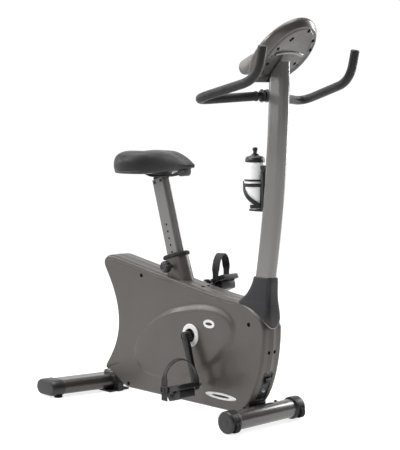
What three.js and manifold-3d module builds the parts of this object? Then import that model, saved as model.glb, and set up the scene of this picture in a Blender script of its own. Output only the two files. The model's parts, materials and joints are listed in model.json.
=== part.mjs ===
// Upright exercise bike, built as separate solids in millimetres, +Z up.
// +X is the front of the bike, +Y the rider's left. Lengths along X are measured from the crank axle,
// and the whole bike is then moved along X so that the origin lies under the middle of its bounding box.
import * as THREE from "three";
import { mergeVertices } from "three/addons/utils/BufferGeometryUtils.js";
import Module from "manifold-3d";

const wasm = await Module();
wasm.setup();

// ---------------------------------------------------------------- driving dimensions
const GAP = 0.3; // kept between solids that touch on the real bike
const BIKE_SHIFT_X = 48; // from the crank axle to the middle of the bounding box

const CRANK_Z = 268;
const CRANK_LENGTH = 170;
const CRANK_ANGLE = 21.5; // degrees, right arm forward of straight down
const CASING_HALF_WIDTH = 44;
const WALL = 3; // moulded casing
const PLATEAU = { x: -42, z: 239, a: 260, b: 115.5, turn: 19.4, rise: 7, slope: 14 };
const ARM_INNER_Y = 60; // inner face of the crank boss
const ARM_FACE_Y = 69; // inner face of the arm where it leaves the boss
const ARM_THICK = 13;
const ARM_SPLAY = 0.06; // outward lean of the arm
const PEDAL_INNER_Y = 108;
const PEDAL_OUTER_Y = 203;

const FRONT_TUBE = { x: 288, z: 37, r: 31.5, half: 134 };
const FRONT_CAP = { r: 37, inner: 131, outer: 172 };
const WHEEL = { x: 312, z: 26, r: 21, width: 18, y: 152 };
const REAR_TUBE = { x: -495, z: 34, width: 100, height: 52, sweep: 10.8, end: 226 };
const REAR_CAP_END = 256;
const FOOT = { r: 16, x: -508, y: 222 };
const TUBE_WALL = 2.5; // both stabilisers and the frame's beam

const SEAT_PIN = { x: -114, z: 491 };
const SEAT_LEAN = 17; // degrees rearward
const POST = { length: 62, width: 34, wall: 3, corner: 8, bottom: -36, top: 310 };
const POST_HOLE = { pitch: 24.4, r: 4, first: -1, last: 6 };

const MAST = { length: 68, width: 42, corner: 14, wall: 3 };
const MAST_TOP = { x: 354.5, z: 1190 };
const MAST_RADIUS = 4300; // the mast bends forward on this radius below MAST_STRAIGHT_Z
const MAST_STRAIGHT_Z = 1120;
const MAST_FOOT_Z = 345;

const BAR_RADIUS = 12.5;
const GRIP_RADIUS = 14.5;
const BAR = [[300, 0, 1070], [298, -22, 1070], [223, -257, 1054], [463, -214, 1117], [484, -214, 1211]];
const BAR_BENDS = [16, 46, 52]; // cut back from each inner corner of the bar
const CLAMP_HALF = 24;

const CONSOLE = { x: 372, z: 1204, tilt: 47, foot: 1130 };
const BOTTLE = { x: 250, r: 35, bottom: 708, top: 858 };

const FLYWHEEL = { x: -205, z: 190, r: 112, width: 22, y: -20 };
const DRIVE_RATIO = 6.5;
const PULLEY = { r: 110, y: 30, width: 14 };
const IDLER = { x: -120, z: 141.3, r: 22, pivotX: -70, pivotZ: 121 };
const BRAKE = { from: 122, to: 172, pivotX: -338, pivotZ: 188 };

// ---------------------------------------------------------------- materials
const material = (color, roughness, metalness = 0) =>
  new THREE.MeshStandardMaterial({ color, roughness, metalness });
const CASING_GREY = material(0x6b6661, 0.45, 0.2);
const TUBE_GREY = material(0x7d7977, 0.38, 0.5);
const FRAME_BLACK = material(0x242424, 0.5, 0.4);
const STEEL = material(0xb4b4b6, 0.3, 0.95);
const IRON = material(0x55565a, 0.55, 0.8);
const PLASTIC_BLACK = material(0x262627, 0.55);
const RUBBER = material(0x1d1d1e, 0.85);
const VINYL = material(0x2b2b2d, 0.7);
const WHITE = material(0xe9e8e4, 0.35);
const LENS = material(0x0f1418, 0.12);
const CONSOLE_GREY = material(0x77716f, 0.4, 0.25);
const RED = material(0xb22a25, 0.4);

// ---------------------------------------------------------------- helpers
const radians = THREE.MathUtils.degToRad;
const vector = (x, y, z) => new THREE.Vector3(x, y, z);

// A closed geometry as a manifold-3d solid.
function solid(geometry) {
  const bare = geometry.clone();
  bare.deleteAttribute("normal");
  bare.deleteAttribute("uv");
  const merged = mergeVertices(bare, 1e-3);
  return new wasm.Manifold(
    new wasm.Mesh({
      numProp: 3,
      vertProperties: new Float32Array(merged.attributes.position.array),
      triVerts: new Uint32Array(merged.index.array),
    }),
  );
}

function geometryOf(manifold) {
  const mesh = manifold.getMesh();
  const geometry = new THREE.BufferGeometry();
  geometry.setAttribute("position", new THREE.BufferAttribute(new Float32Array(mesh.vertProperties), 3));
  geometry.setIndex(new THREE.BufferAttribute(new Uint32Array(mesh.triVerts), 1));
  geometry.computeVertexNormals();
  return geometry;
}

const join = (...parts) => geometryOf(parts.map(solid).reduce((a, b) => a.add(b)));
const cut = (body, ...tools) => geometryOf(tools.map(solid).reduce((a, b) => a.subtract(b), solid(body)));
const common = (a, b) => geometryOf(solid(a).intersect(solid(b)));

// Box by its lowest and highest corners.
function block(low, high) {
  const size = high.map((v, i) => v - low[i]);
  return new THREE.BoxGeometry(...size).translate(...low.map((v, i) => v + size[i] / 2));
}

// Cylinder along Y.
function drum(r, yLow, yHigh, x = 0, z = 0, sides = 32, rEnd = r) {
  return new THREE.CylinderGeometry(rEnd, r, yHigh - yLow, sides).translate(x, (yLow + yHigh) / 2, z);
}

// Rounded rectangle, or a flat oval where the corner radius is half the height, as a list of points.
function roundedRectangle(length, width, corner, steps = 4) {
  const points = [];
  const cx = length / 2 - corner;
  const cy = width / 2 - corner;
  [[cx, cy, 0], [-cx, cy, 90], [-cx, -cy, 180], [cx, -cy, 270]].forEach(([x, y, start]) => {
    for (let i = 0; i <= steps; i++) {
      const a = radians(start + (90 * i) / steps);
      points.push(new THREE.Vector2(x + corner * Math.cos(a), y + corner * Math.sin(a)));
    }
  });
  return points;
}

function circle(r, sides = 16) {
  return Array.from({ length: sides }, (_, i) => {
    const a = (2 * Math.PI * i) / sides;
    return new THREE.Vector2(r * Math.cos(a), r * Math.sin(a));
  });
}

// Closed solid through rings of equal length. Each ring is a list of Vector3; `flat` is the first one in 2D.
function loft(rings, flat) {
  const n = rings[0].length;
  const index = [];
  for (let k = 0; k + 1 < rings.length; k++) {
    for (let i = 0; i < n; i++) {
      const a = k * n + i;
      const b = k * n + ((i + 1) % n);
      index.push(a, b, b + n, a, b + n, a + n);
    }
  }
  const last = (rings.length - 1) * n;
  const clockwise = THREE.ShapeUtils.isClockWise(flat);
  THREE.ShapeUtils.triangulateShape(flat, []).forEach((corners) => {
    const [a, b, c] = clockwise ? corners.reverse() : corners;
    index.push(c, b, a, last + a, last + b, last + c);
  });
  const geometry = new THREE.BufferGeometry().setFromPoints(rings.flat());
  geometry.setIndex(index);
  return solid(geometry).volume() < 0 ? flipped(geometry) : geometry;
}

function flipped(geometry) {
  const index = Array.from(geometry.index.array);
  for (let i = 0; i < index.length; i += 3) [index[i], index[i + 1]] = [index[i + 1], index[i]];
  geometry.setIndex(index);
  return geometry;
}

// Section swept along a curve in a plane of constant Y: section x stays in that plane, section y is +Y.
function sweepInSidePlane(section, curve, steps) {
  const rings = [];
  for (let k = 0; k <= steps; k++) {
    const centre = curve.getPointAt(k / steps);
    const along = curve.getTangentAt(k / steps);
    const across = vector(along.z, 0, -along.x);
    rings.push(section.map((p) => centre.clone().addScaledVector(across, p.x).add(vector(0, p.y, 0))));
  }
  return loft(rings, section);
}

// Polygon in the side plane (x, z), extruded from yLow to yHigh.
function sidePlate(points, yLow, yHigh) {
  const ring = (y) => points.map((p) => vector(p.x, y, p.y));
  return loft([ring(yLow), ring(yHigh)], points);
}

const mirrored = (geometry) => flipped(geometry.clone().scale(1, -1, 1));
const pairs = [["right", 1], ["left", -1]]; // sign 1 keeps a piece modelled on the rider's right, at -Y
const sided = (geometry, sign) => (sign > 0 ? geometry : mirrored(geometry));

function add(group, name, geometry, finish) {
  const mesh = new THREE.Mesh(geometry, finish);
  mesh.name = name;
  group.add(mesh);
  return mesh;
}

const bike = new THREE.Group();
bike.position.x = BIKE_SHIFT_X;

// ---------------------------------------------------------------- casing outline in the side plane
function casingOutline(segments = 5) {
  const shape = new THREE.Shape();
  shape.moveTo(-344, 35);
  shape.lineTo(238, 35);
  shape.lineTo(262, 70);
  shape.bezierCurveTo(303, 110, 334, 220, 333, 322);
  shape.bezierCurveTo(333, 355, 285, 396, 204, 409);
  shape.bezierCurveTo(150, 412, 90, 420, 0, 436);
  shape.lineTo(-400, 505.5);
  shape.bezierCurveTo(-440, 512, -480, 495, -461, 460);
  shape.bezierCurveTo(-425, 405, -388, 345, -388, 272);
  shape.bezierCurveTo(-388, 205, -420, 155, -456, 108);
  shape.lineTo(-463, 91);
  shape.lineTo(-438, 85);
  const points = shape.getPoints(segments);
  return points.filter((p, i) => i === 0 || p.distanceTo(points[i - 1]) > 1);
}

// Points moved inwards by d along the mean normal of their two edges. The outline runs anticlockwise.
function inset(points, d) {
  const n = points.length;
  return points.map((p, i) => {
    const into = p.clone().sub(points[(i + n - 1) % n]).normalize();
    const out = points[(i + 1) % n].clone().sub(p).normalize();
    const normal = new THREE.Vector2(-into.y - out.y, into.x + out.x);
    const spread = Math.max(0.5, normal.length() / 2);
    return p.clone().addScaledVector(normal.normalize(), d / spread);
  });
}

const outline = casingOutline();
const outlineRing = (d, y) => inset(outline, d).map((p) => vector(p.x, y, p.y));
const casingSolid = (grow, half) =>
  loft(
    [outlineRing(7 - grow, -half), outlineRing(2 - grow, -half + 4), outlineRing(-grow, -half + 11),
      outlineRing(-grow, half - 11), outlineRing(2 - grow, half - 4), outlineRing(7 - grow, half)],
    inset(outline, 7 - grow),
  );

function ellipse(grow, sides = 36) {
  const turn = radians(PLATEAU.turn);
  return Array.from({ length: sides }, (_, i) => {
    const t = (2 * Math.PI * i) / sides;
    const p = new THREE.Vector2((PLATEAU.a + grow) * Math.cos(t), (PLATEAU.b + grow) * Math.sin(t));
    return p.rotateAround(new THREE.Vector2(), turn).add(new THREE.Vector2(PLATEAU.x, PLATEAU.z));
  });
}

function plateau(side, grow, fromY) {
  const foot = ellipse(PLATEAU.slope / 2 + grow);
  const top = ellipse(-PLATEAU.slope / 2 + grow);
  const ring = (points, y) => points.map((p) => vector(p.x, y, p.y));
  const topY = side * (CASING_HALF_WIDTH + PLATEAU.rise + grow);
  const footY = side * (CASING_HALF_WIDTH - 0.5 + grow);
  return loft([ring(foot, side * fromY), ring(foot, footY), ring(top, topY)], foot);
}

// ---------------------------------------------------------------- mast centre line
function mastCurve(footZ) {
  const points = [];
  const steps = 8;
  for (let i = 0; i <= steps; i++) {
    const z = footZ + ((MAST_STRAIGHT_Z - footZ) * i) / steps;
    const drop = MAST_STRAIGHT_Z - z;
    points.push(vector(MAST_TOP.x - (drop * drop) / (2 * MAST_RADIUS) - 0.012 * drop, 0, z));
  }
  points.push(vector(MAST_TOP.x, 0, MAST_TOP.z));
  return new THREE.CatmullRomCurve3(points);
}

const mastX = (z) => {
  const drop = Math.max(0, MAST_STRAIGHT_Z - z);
  return MAST_TOP.x - (drop * drop) / (2 * MAST_RADIUS) - 0.012 * drop;
};

const mastSection = (grow) =>
  roundedRectangle(MAST.length + 2 * grow, MAST.width + 2 * grow, MAST.corner + grow, 3);
const mastBlank = (grow, footZ = MAST_FOOT_Z) => sweepInSidePlane(mastSection(grow), mastCurve(footZ), 10);

// ---------------------------------------------------------------- seat frame of reference
// Local +Z runs up the seat post and local +X points forward, with the origin at the locking pin.
const seatMatrix = new THREE.Matrix4()
  .makeRotationY(radians(-SEAT_LEAN))
  .setPosition(SEAT_PIN.x, 0, SEAT_PIN.z);
const inSeatFrame = (geometry) => geometry.clone().applyMatrix4(seatMatrix);

// Prism in the seat frame from an outline in its local X-Y plane.
function seatPrism(section, zLow, zHigh, sectionHigh = section) {
  const ring = (points, z) => points.map((p) => vector(p.x, p.y, z));
  return loft([ring(section, zLow), ring(sectionHigh, zHigh)], section);
}

const postSection = (grow, corner = POST.corner) =>
  roundedRectangle(POST.length + 2 * grow, POST.width + 2 * grow, corner + grow, 3);

// ---------------------------------------------------------------- base: stabilisers, caps, feet, wheels
function rearTubeRings(section, ends) {
  const sweep = Math.tan(radians(REAR_TUBE.sweep));
  return ends.map((y) =>
    section.map((p) => vector(REAR_TUBE.x - sweep * Math.abs(y) + p.x, y, REAR_TUBE.z + p.y)),
  );
}

function rearOval(grow, steps = 4) {
  const r = REAR_TUBE.height / 2 + grow;
  return roundedRectangle(REAR_TUBE.width + 2 * grow, REAR_TUBE.height + 2 * grow, r, steps);
}

function buildBase() {
  const oval = rearOval(0);
  const bore = rearOval(-TUBE_WALL, 3);
  const rearTube = cut(loft(rearTubeRings(oval, [-REAR_TUBE.end, -60, -20, 0, 20, 60, REAR_TUBE.end]), oval),
    loft(rearTubeRings(bore, [-REAR_TUBE.end - 5, 0, REAR_TUBE.end + 5]), bore));
  add(bike, "rear_stabilizer", rearTube, TUBE_GREY);

  const capOval = rearOval(2.5);
  const capMouth = REAR_TUBE.end - 18;
  const capDome = REAR_CAP_END - 6;
  const dome = rearOval(-4);
  const capBody = loft(
    [...rearTubeRings(capOval, [-capMouth, -capDome]), ...rearTubeRings(dome, [-REAR_CAP_END])],
    capOval,
  );
  const socket = rearOval(GAP);
  const rearCap = cut(capBody, loft(rearTubeRings(socket, [-capMouth + 5, -REAR_TUBE.end - GAP]), socket));
  const foot = drum(FOOT.r, 0, 5).rotateX(Math.PI / 2).translate(FOOT.x, -FOOT.y, 0);

  const capBore = cut(
    drum(FRONT_CAP.r, -FRONT_CAP.outer + 5, -FRONT_CAP.inner, FRONT_TUBE.x, FRONT_TUBE.z, 36),
    drum(FRONT_TUBE.r + GAP, -FRONT_TUBE.half - GAP, -FRONT_CAP.inner + 5, FRONT_TUBE.x, FRONT_TUBE.z, 36),
  );
  const capFace = drum(32, -FRONT_CAP.outer, -FRONT_CAP.outer + 5, FRONT_TUBE.x, FRONT_TUBE.z, 36,
    FRONT_CAP.r);
  const wheelSlot = drum(WHEEL.r + 2, -WHEEL.y - WHEEL.width / 2 - 1.5, -WHEEL.y + WHEEL.width / 2 + 1.5,
    WHEEL.x, WHEEL.z, 24);
  const fork = (y) => drum(12, y - 2.5, y + 2.5, WHEEL.x, WHEEL.z, 20);
  const pin = drum(3, -WHEEL.y - 14, -WHEEL.y + 14, WHEEL.x, WHEEL.z, 12);
  const forkOffset = WHEEL.width / 2 + 4;
  const frontCap = join(cut(join(capBore, capFace), wheelSlot), fork(-WHEEL.y - forkOffset),
    fork(-WHEEL.y + forkOffset), pin);
  const wheelTread = new THREE.LatheGeometry(
    [[3.4, -9], [13, -9], [13, -6], [17, -6], [19, -9], [WHEEL.r, -7], [WHEEL.r, 7], [19, 9], [17, 6], [13, 6],
      [13, 9], [3.4, 9], [3.4, -9]].map(([r, y]) => new THREE.Vector2(r, y)), 28);

  const frontTube = cut(drum(FRONT_TUBE.r, -FRONT_TUBE.half, FRONT_TUBE.half, FRONT_TUBE.x, FRONT_TUBE.z, 36),
    drum(FRONT_TUBE.r - TUBE_WALL, -FRONT_TUBE.half - 1, FRONT_TUBE.half + 1, FRONT_TUBE.x, FRONT_TUBE.z,
      24));
  add(bike, "front_stabilizer", frontTube, TUBE_GREY);
  pairs.forEach(([side, sign]) => {
    add(bike, `rear_cap_${side}`, sided(rearCap, sign), PLASTIC_BLACK);
    add(bike, `rear_foot_${side}`, sided(foot, sign), RUBBER);
    add(bike, `front_cap_${side}`, sided(frontCap, sign), PLASTIC_BLACK);
    add(bike, `transport_wheel_${side}`, wheelTread, RUBBER).position.set(WHEEL.x, -sign * WHEEL.y, WHEEL.z);
  });
}

// ---------------------------------------------------------------- welded frame inside the casing
const rearSaddle = () => {
  const oval = rearOval(GAP);
  return loft(rearTubeRings(oval, [-90, 0, 90]), oval);
};

function buildFrame() {
  const rearYoke = join(block([-500, -12, 2], [-424, 12, 72]), block([-508, -45, 2], [-432, 45, 8]));
  const crossPlate = block([-250, -37, 62], [-160, 14, 75]);
  const frontSaddle = cut(
    block([232, -34, 44], [262, 34, 68]),
    drum(FRONT_TUBE.r + GAP, -60, 60, FRONT_TUBE.x, FRONT_TUBE.z, 36),
  );
  const beam = cut(join(block([-430, -20, 39], [246, 20, 75]), frontSaddle),
    block([-425, -20 + TUBE_WALL, 39 + TUBE_WALL], [300, 20 - TUBE_WALL, 75 - TUBE_WALL]));
  const bottomBracket = drum(20, -34, 20.5, 0, CRANK_Z, 28);
  const plate = (corners, yLow, yHigh) => sidePlate(corners.map((c) => new THREE.Vector2(...c)), yLow, yHigh);
  const tower = plate([[-84, 74], [46, 74], [20, 268], [-20, 305], [-78, 305], [-60, 135], [-84, 135]], -6, 6);
  const seatTube = inSeatFrame(seatPrism(postSection(3.6), -198, 35));
  const mastStub = sweepInSidePlane(roundedRectangle(54, 30, 6, 2), new THREE.LineCurve3(
    vector(212, 0, 70), vector(mastX(MAST_FOOT_Z), 0, MAST_FOOT_Z - GAP)), 1);
  const topRail = plate([[-60, 380], [262, 302], [262, 330], [236, 338], [-92, 415]], -8, 8);
  const forkPlate = (y) => plate([[-250, 74], [-160, 74], [-190, 204], [-220, 204]], y - 2, y + 2);
  const brakePlate = plate([[-380, 74], [-330, 74], [-330, 196], [-346, 196]], -2, 2);
  const brakePin = drum(4, -35, 1, BRAKE.pivotX, BRAKE.pivotZ, 12);
  const postSpace = inSeatFrame(seatPrism(postSection(0.4), -190, 60));
  const pinHole = drum(6.5, -60, -10, SEAT_PIN.x, SEAT_PIN.z, 16);
  const frame = cut(
    join(beam, crossPlate, rearYoke, bottomBracket, tower, seatTube, mastStub, topRail, brakePlate, brakePin,
      forkPlate(FLYWHEEL.y - 15), forkPlate(FLYWHEEL.y + 32)),
    rearSaddle(),
    postSpace,
    pinHole,
    drum(16.2, -40, 40, 0, CRANK_Z, 28),
    drum(6.3, -50, 20, FLYWHEEL.x, FLYWHEEL.z, 16),
    drum(5.3, -20, 20, IDLER.pivotX, IDLER.pivotZ, 12),
  );
  add(bike, "main_frame", frame, FRAME_BLACK);
}

// ---------------------------------------------------------------- casing, covers and power panel
const POWER = { low: 84, high: 176, half: 23, depth: 12 };

// The slab of space behind the front face between two heights, used for the panel and its pocket.
function frontSlab(zLow, zHigh, half, depth, gap = 0) {
  const y = half - gap;
  const shell = casingSolid(0, CASING_HALF_WIDTH);
  const core = casingSolid(0, CASING_HALF_WIDTH).translate(-depth, 0, 0);
  return common(cut(shell, core), block([240, -y, zLow + gap], [360, y, zHigh - gap]));
}

function halfShell(side) {
  const shell = cut(casingSolid(0, CASING_HALF_WIDTH), casingSolid(-WALL, CASING_HALF_WIDTH - WALL));
  const hollow = plateau(side, -WALL, 30);
  const joined = cut(join(shell, plateau(side, 0, CASING_HALF_WIDTH - WALL + 0.2)), hollow);
  const halfSpace = side < 0 ? block([-600, 0, 0], [500, 90, 600]) : block([-600, -90, 0], [500, 0, 600]);
  const seamGap = block([-600, -0.2, 0], [500, 0.2, 600]);
  return cut(
    joined,
    halfSpace,
    seamGap,
    drum(22, -90, 90, 0, CRANK_Z, 28),
    inSeatFrame(seatPrism(postSection(5), -120, 60)),
    mastBlank(1.5, 300),
    block([-470, -34, 30], [-330, 34, 92]),
    block([224, -36, 30], [270, 36, 84]),
    frontSlab(POWER.low, POWER.high, POWER.half, POWER.depth),
  );
}

function buildCasing() {
  add(bike, "right_shell", halfShell(-1), CASING_GREY);
  add(bike, "left_shell", halfShell(1), CASING_GREY);

  const ringY = CASING_HALF_WIDTH + PLATEAU.rise + GAP;
  const cover = new THREE.LatheGeometry(
    [[23, 0], [39, 0], [37.5, 2.4], [25, 4], [23, 4], [23, 0]].map(([r, y]) => new THREE.Vector2(r, y)), 36);
  pairs.forEach(([side, sign]) => {
    const mesh = add(bike, `crank_cover_${side}`, cover, WHITE);
    mesh.rotation.x = sign > 0 ? Math.PI : 0;
    mesh.position.set(0, -sign * ringY, CRANK_Z);
  });

  const panel = frontSlab(POWER.low, POWER.high, POWER.half, POWER.depth - 3, GAP);
  const switchPocket = block([280, -9, 141], [340, 15, 165]);
  const socketPocket = block([282, -9, 108], [340, 9, 126]);
  add(bike, "power_panel", cut(panel, switchPocket, socketPocket), PLASTIC_BLACK);
}

// ---------------------------------------------------------------- drive train
function pulleyWheel(r, width, boreRadius, grooves) {
  const profile = [[boreRadius, -width / 2], [r + 3, -width / 2], [r + 3, -width / 2 + 1.5], [r, -width / 2 + 1.5],
    [r, width / 2 - 1.5], [r + 3, width / 2 - 1.5], [r + 3, width / 2], [boreRadius, width / 2],
    [boreRadius, -width / 2]];
  const wheel = new THREE.LatheGeometry(profile.map(([x, y]) => new THREE.Vector2(x, y)), 40);
  const windows = Array.from({ length: grooves }, (_, i) => {
    const a = (2 * Math.PI * i) / grooves;
    return drum(r * 0.24, -width, width, r * 0.62 * Math.cos(a), r * 0.62 * Math.sin(a), 16);
  });
  return grooves ? cut(wheel, ...windows) : wheel;
}

// Belt loop around two pulleys on parallel axes: the outer tangent outline of two circles.
function beltOutline(grow) {
  const small = PULLEY.r / DRIVE_RATIO + grow;
  const big = PULLEY.r + grow;
  const dx = FLYWHEEL.x;
  const dz = FLYWHEEL.z - CRANK_Z;
  const toward = Math.atan2(dz, dx);
  const spread = Math.acos((big - small) / Math.hypot(dx, dz));
  const points = [];
  const arc = (cx, cz, r, from, to, steps) => {
    for (let i = 0; i <= steps; i++) {
      const a = from + ((to - from) * i) / steps;
      points.push(new THREE.Vector2(cx + r * Math.cos(a), cz + r * Math.sin(a)));
    }
  };
  arc(0, 0, big, toward + spread, toward + 2 * Math.PI - spread, 28);
  arc(dx, dz, small, toward - spread, toward + spread, 10);
  return points.map((p) => p.add(new THREE.Vector2(0, CRANK_Z)));
}

function buildDrive() {
  const belt = cut(sidePlate(beltOutline(2.6), PULLEY.y - 5, PULLEY.y + 5),
    sidePlate(beltOutline(0.5), PULLEY.y - 8, PULLEY.y + 8));
  add(bike, "drive_belt", belt, RUBBER);

  const crankset = new THREE.Group();
  crankset.position.set(0, 0, CRANK_Z);
  crankset.rotation.y = radians(-CRANK_ANGLE); // the right arm hangs along local -Z
  bike.add(crankset);

  add(crankset, "crank_axle", join(drum(9.7, -ARM_INNER_Y + GAP, ARM_INNER_Y - GAP, 0, 0, 24),
    drum(15, PULLEY.y + PULLEY.width / 2 + GAP, 44, 0, 0, 24)), STEEL);
  const pulley = pulleyWheel(PULLEY.r, PULLEY.width, 10, 5).translate(0, PULLEY.y, 0);
  add(crankset, "drive_pulley", pulley, PLASTIC_BLACK);

  pairs.forEach(([side, sign]) => {
    const bearing = new THREE.LatheGeometry(
      [[10, -6], [15.9, -6], [15.9, 6], [10, 6], [10, -6]].map(([r, y]) => new THREE.Vector2(r, y)), 28);
    add(bike, `bottom_bracket_bearing_${side}`, bearing, STEEL).position.set(0, sign > 0 ? -27 : 13, CRANK_Z);

    const splay = new THREE.Matrix4().set(1, 0, 0, 0, 0, 1, ARM_SPLAY, 0, 0, 0, 1, 0, 0, 0, 0, 1);
    const arm = sidePlate(
      [[-15, 0], [-14, 6], [-8, 13], [0, 16], [8, 13], [14, 6], [15, 0], [11, -60], [10, -150], [12, -172],
        [8, -181], [0, -184], [-8, -181], [-12, -172], [-10, -150], [-11, -60]]
        .map(([x, z]) => new THREE.Vector2(x, z)),
      -ARM_FACE_Y - ARM_THICK, -ARM_FACE_Y).applyMatrix4(splay);
    const boss = drum(16, -ARM_FACE_Y - ARM_THICK, -ARM_INNER_Y, 0, 0, 24, 14.5);
    const bore = drum(6.4, -120, -50, 0, -CRANK_LENGTH, 16);
    const upright = new THREE.Group(); // turned half a turn for the left arm
    upright.rotation.y = sign > 0 ? 0 : Math.PI;
    crankset.add(upright);
    add(upright, `crank_arm_${side}`, sided(cut(join(arm, boss), bore), sign), FRAME_BLACK);
    const spindle = join(drum(6, -PEDAL_OUTER_Y + 9, -ARM_FACE_Y - 8, 0, 0, 16),
      drum(9, -PEDAL_INNER_Y + 1, -ARM_FACE_Y - 25, 0, 0, 16),
      drum(10, -ARM_FACE_Y - 9.2, -ARM_FACE_Y + 3, 0, 0, 16));
    add(upright, `pedal_spindle_${side}`, sided(spindle, sign), STEEL).position.z = -CRANK_LENGTH;
  });

  const flywheelGroup = new THREE.Group();
  flywheelGroup.position.set(FLYWHEEL.x, 0, FLYWHEEL.z);
  bike.add(flywheelGroup);
  const disc = new THREE.LatheGeometry(
    [[6.8, -10], [20, -10], [24, -4], [86, -4], [90, -11], [112, -11], [112, 11], [90, 11], [86, 4], [24, 4],
      [20, 10], [20, 12], [6.8, 12], [6.8, -10]].map(([r, y]) => new THREE.Vector2(r, y)), 40)
    .translate(0, FLYWHEEL.y, 0);
  add(flywheelGroup, "flywheel", disc, IRON);
  const smallPulley = pulleyWheel(PULLEY.r / DRIVE_RATIO, PULLEY.width, 6.8, 0).translate(0, PULLEY.y, 0);
  add(flywheelGroup, "flywheel_pulley", join(smallPulley, new THREE.LatheGeometry(
    [[6.8, 15], [12, 15], [12, 24], [6.8, 24], [6.8, 15]].map(([r, y]) => new THREE.Vector2(r, y)), 24)),
  STEEL);
  add(flywheelGroup, "flywheel_axle", drum(6, -38, 37, 0, 0, 16), STEEL);

  const idlerPivot = [IDLER.pivotX, IDLER.pivotZ];
  const arm = join(
    sidePlate([
      [IDLER.x - 9, IDLER.z - 9], [idlerPivot[0] - 2, idlerPivot[1] - 9], [idlerPivot[0] + 2, idlerPivot[1] + 9],
      [IDLER.x + 4, IDLER.z + 9]].map(([x, z]) => new THREE.Vector2(x, z)), 10, 14),
    drum(9, 10, 14, IDLER.x, IDLER.z, 16), drum(9, 6.5, 14, ...idlerPivot, 16),
    drum(5, -8, 14, ...idlerPivot, 12), drum(5, 13, 36, IDLER.x, IDLER.z, 12));
  add(bike, "idler_arm", arm, STEEL);
  add(bike, "idler_wheel", new THREE.LatheGeometry(
    [[5.4, -6], [20, -6], [IDLER.r, -5], [IDLER.r, 5], [20, 6], [5.4, 6], [5.4, -6]]
      .map(([r, y]) => new THREE.Vector2(r, y)), 24), PLASTIC_BLACK)
    .position.set(IDLER.x, PULLEY.y, IDLER.z);

  add(bike, "magnet_carriage", magnetCarriage(), FRAME_BLACK);
}

// C-shaped eddy-current brake: two cheeks of magnets beside the flywheel's rim, on a bridge with a pivot boss.
function magnetCarriage() {
  const arc = (r, a) =>
    new THREE.Vector2(FLYWHEEL.x + r * Math.cos(radians(a)), FLYWHEEL.z + r * Math.sin(radians(a)));
  const sector = (rIn, rOut) => {
    const angles = [0, 1, 2, 3, 4].map((i) => BRAKE.from + ((BRAKE.to - BRAKE.from) * i) / 4);
    return [...angles.map((a) => arc(rIn, a)), ...angles.reverse().map((a) => arc(rOut, a))];
  };
  const cheek = (y) => sidePlate(sector(94, 120), y - 2, y + 2);
  const bridge = sidePlate(sector(115, 120), FLYWHEEL.y - 14, FLYWHEEL.y + 14);
  const lever = sidePlate([[-342, 194], [-330, 182], [-308, 196], [-318, 216]]
    .map((c) => new THREE.Vector2(...c)), FLYWHEEL.y - 14, FLYWHEEL.y + 14);
  const boss = drum(9, FLYWHEEL.y - 14, FLYWHEEL.y + 16, BRAKE.pivotX, BRAKE.pivotZ, 16);
  const bore = drum(4.4, FLYWHEEL.y - 20, FLYWHEEL.y + 20, BRAKE.pivotX, BRAKE.pivotZ, 16);
  const clearWheel = drum(113.5, FLYWHEEL.y - 11.8, FLYWHEEL.y + 11.8, FLYWHEEL.x, FLYWHEEL.z, 40);
  return cut(join(cheek(FLYWHEEL.y - 14), cheek(FLYWHEEL.y + 14), bridge, lever, boss), bore, clearWheel);
}

// ---------------------------------------------------------------- pedals
function buildPedals() {
  pairs.forEach(([side, sign]) => {
    const pedal = new THREE.Group();
    const swing = radians(CRANK_ANGLE) + (sign > 0 ? 0 : Math.PI);
    pedal.position.set(CRANK_LENGTH * Math.sin(swing), 0, CRANK_Z - CRANK_LENGTH * Math.cos(swing));
    const tilt = radians(sign > 0 ? -16 : -22); // toe end up
    pedal.rotation.y = tilt;
    bike.add(pedal);
    const [outer, inner] = [-PEDAL_OUTER_Y, -PEDAL_INNER_Y];
    const body = cut(
      join(
        drum(11, outer, inner, 0, 0, 20),
        block([-50, outer, -4], [-40, inner, 13]),
        block([40, outer, -4], [50, inner, 13]),
        block([-50, inner - 9, -4], [50, inner, 13]),
        block([-50, outer, -4], [50, outer + 9, 13]),
        block([-42, outer + 42, -4], [42, outer + 54, 12]),
        block([-32, outer + 14, -34], [32, inner - 16, -6]),
      ),
      drum(6.4, outer + 8, inner + 2, 0, 0, 16),
    );
    add(pedal, `pedal_${side}`, sided(body, sign), PLASTIC_BLACK);
    const band = add(pedal, `pedal_strap_${side}`, sided(strap(), sign), RUBBER);
    band.rotation.y = -tilt; // the strap stands plumb
  });
}

// Strap that arches over the shoe from the pedal's outer side back to its inner side. Its side legs run past
// the pedal, the outer one behind the spindle and the inner one ahead of it.
const STRAP = {
  inner: -104.4, outer: -206.6, width: 26, thick: 3, rise: 68, spring: 32,
  innerFoot: 9.5, outerFoot: -36, slant: 0.47,
};
function strap() {
  const arch = (grow) => {
    const middle = (STRAP.inner + STRAP.outer) / 2;
    const half = (STRAP.inner - STRAP.outer) / 2 + grow;
    const over = Array.from({ length: 13 }, (_, i) => {
      const a = Math.PI * (1 - i / 12);
      return new THREE.Vector2(middle + half * Math.cos(a), STRAP.spring + (STRAP.rise + grow) * Math.sin(a));
    });
    const outerEnd = new THREE.Vector2(middle - half, STRAP.outerFoot);
    const innerEnd = new THREE.Vector2(middle + half, STRAP.innerFoot);
    return [outerEnd, ...over, innerEnd];
  };
  const loop = [...arch(0), ...arch(-STRAP.thick).reverse()];
  const middle = (STRAP.inner + STRAP.outer) / 2;
  const ring = (x) => loop.map((p) => vector(x + STRAP.slant * (p.x - middle), p.x, p.y));
  return loft([ring(-STRAP.width / 2), ring(STRAP.width / 2)], loop);
}

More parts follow.
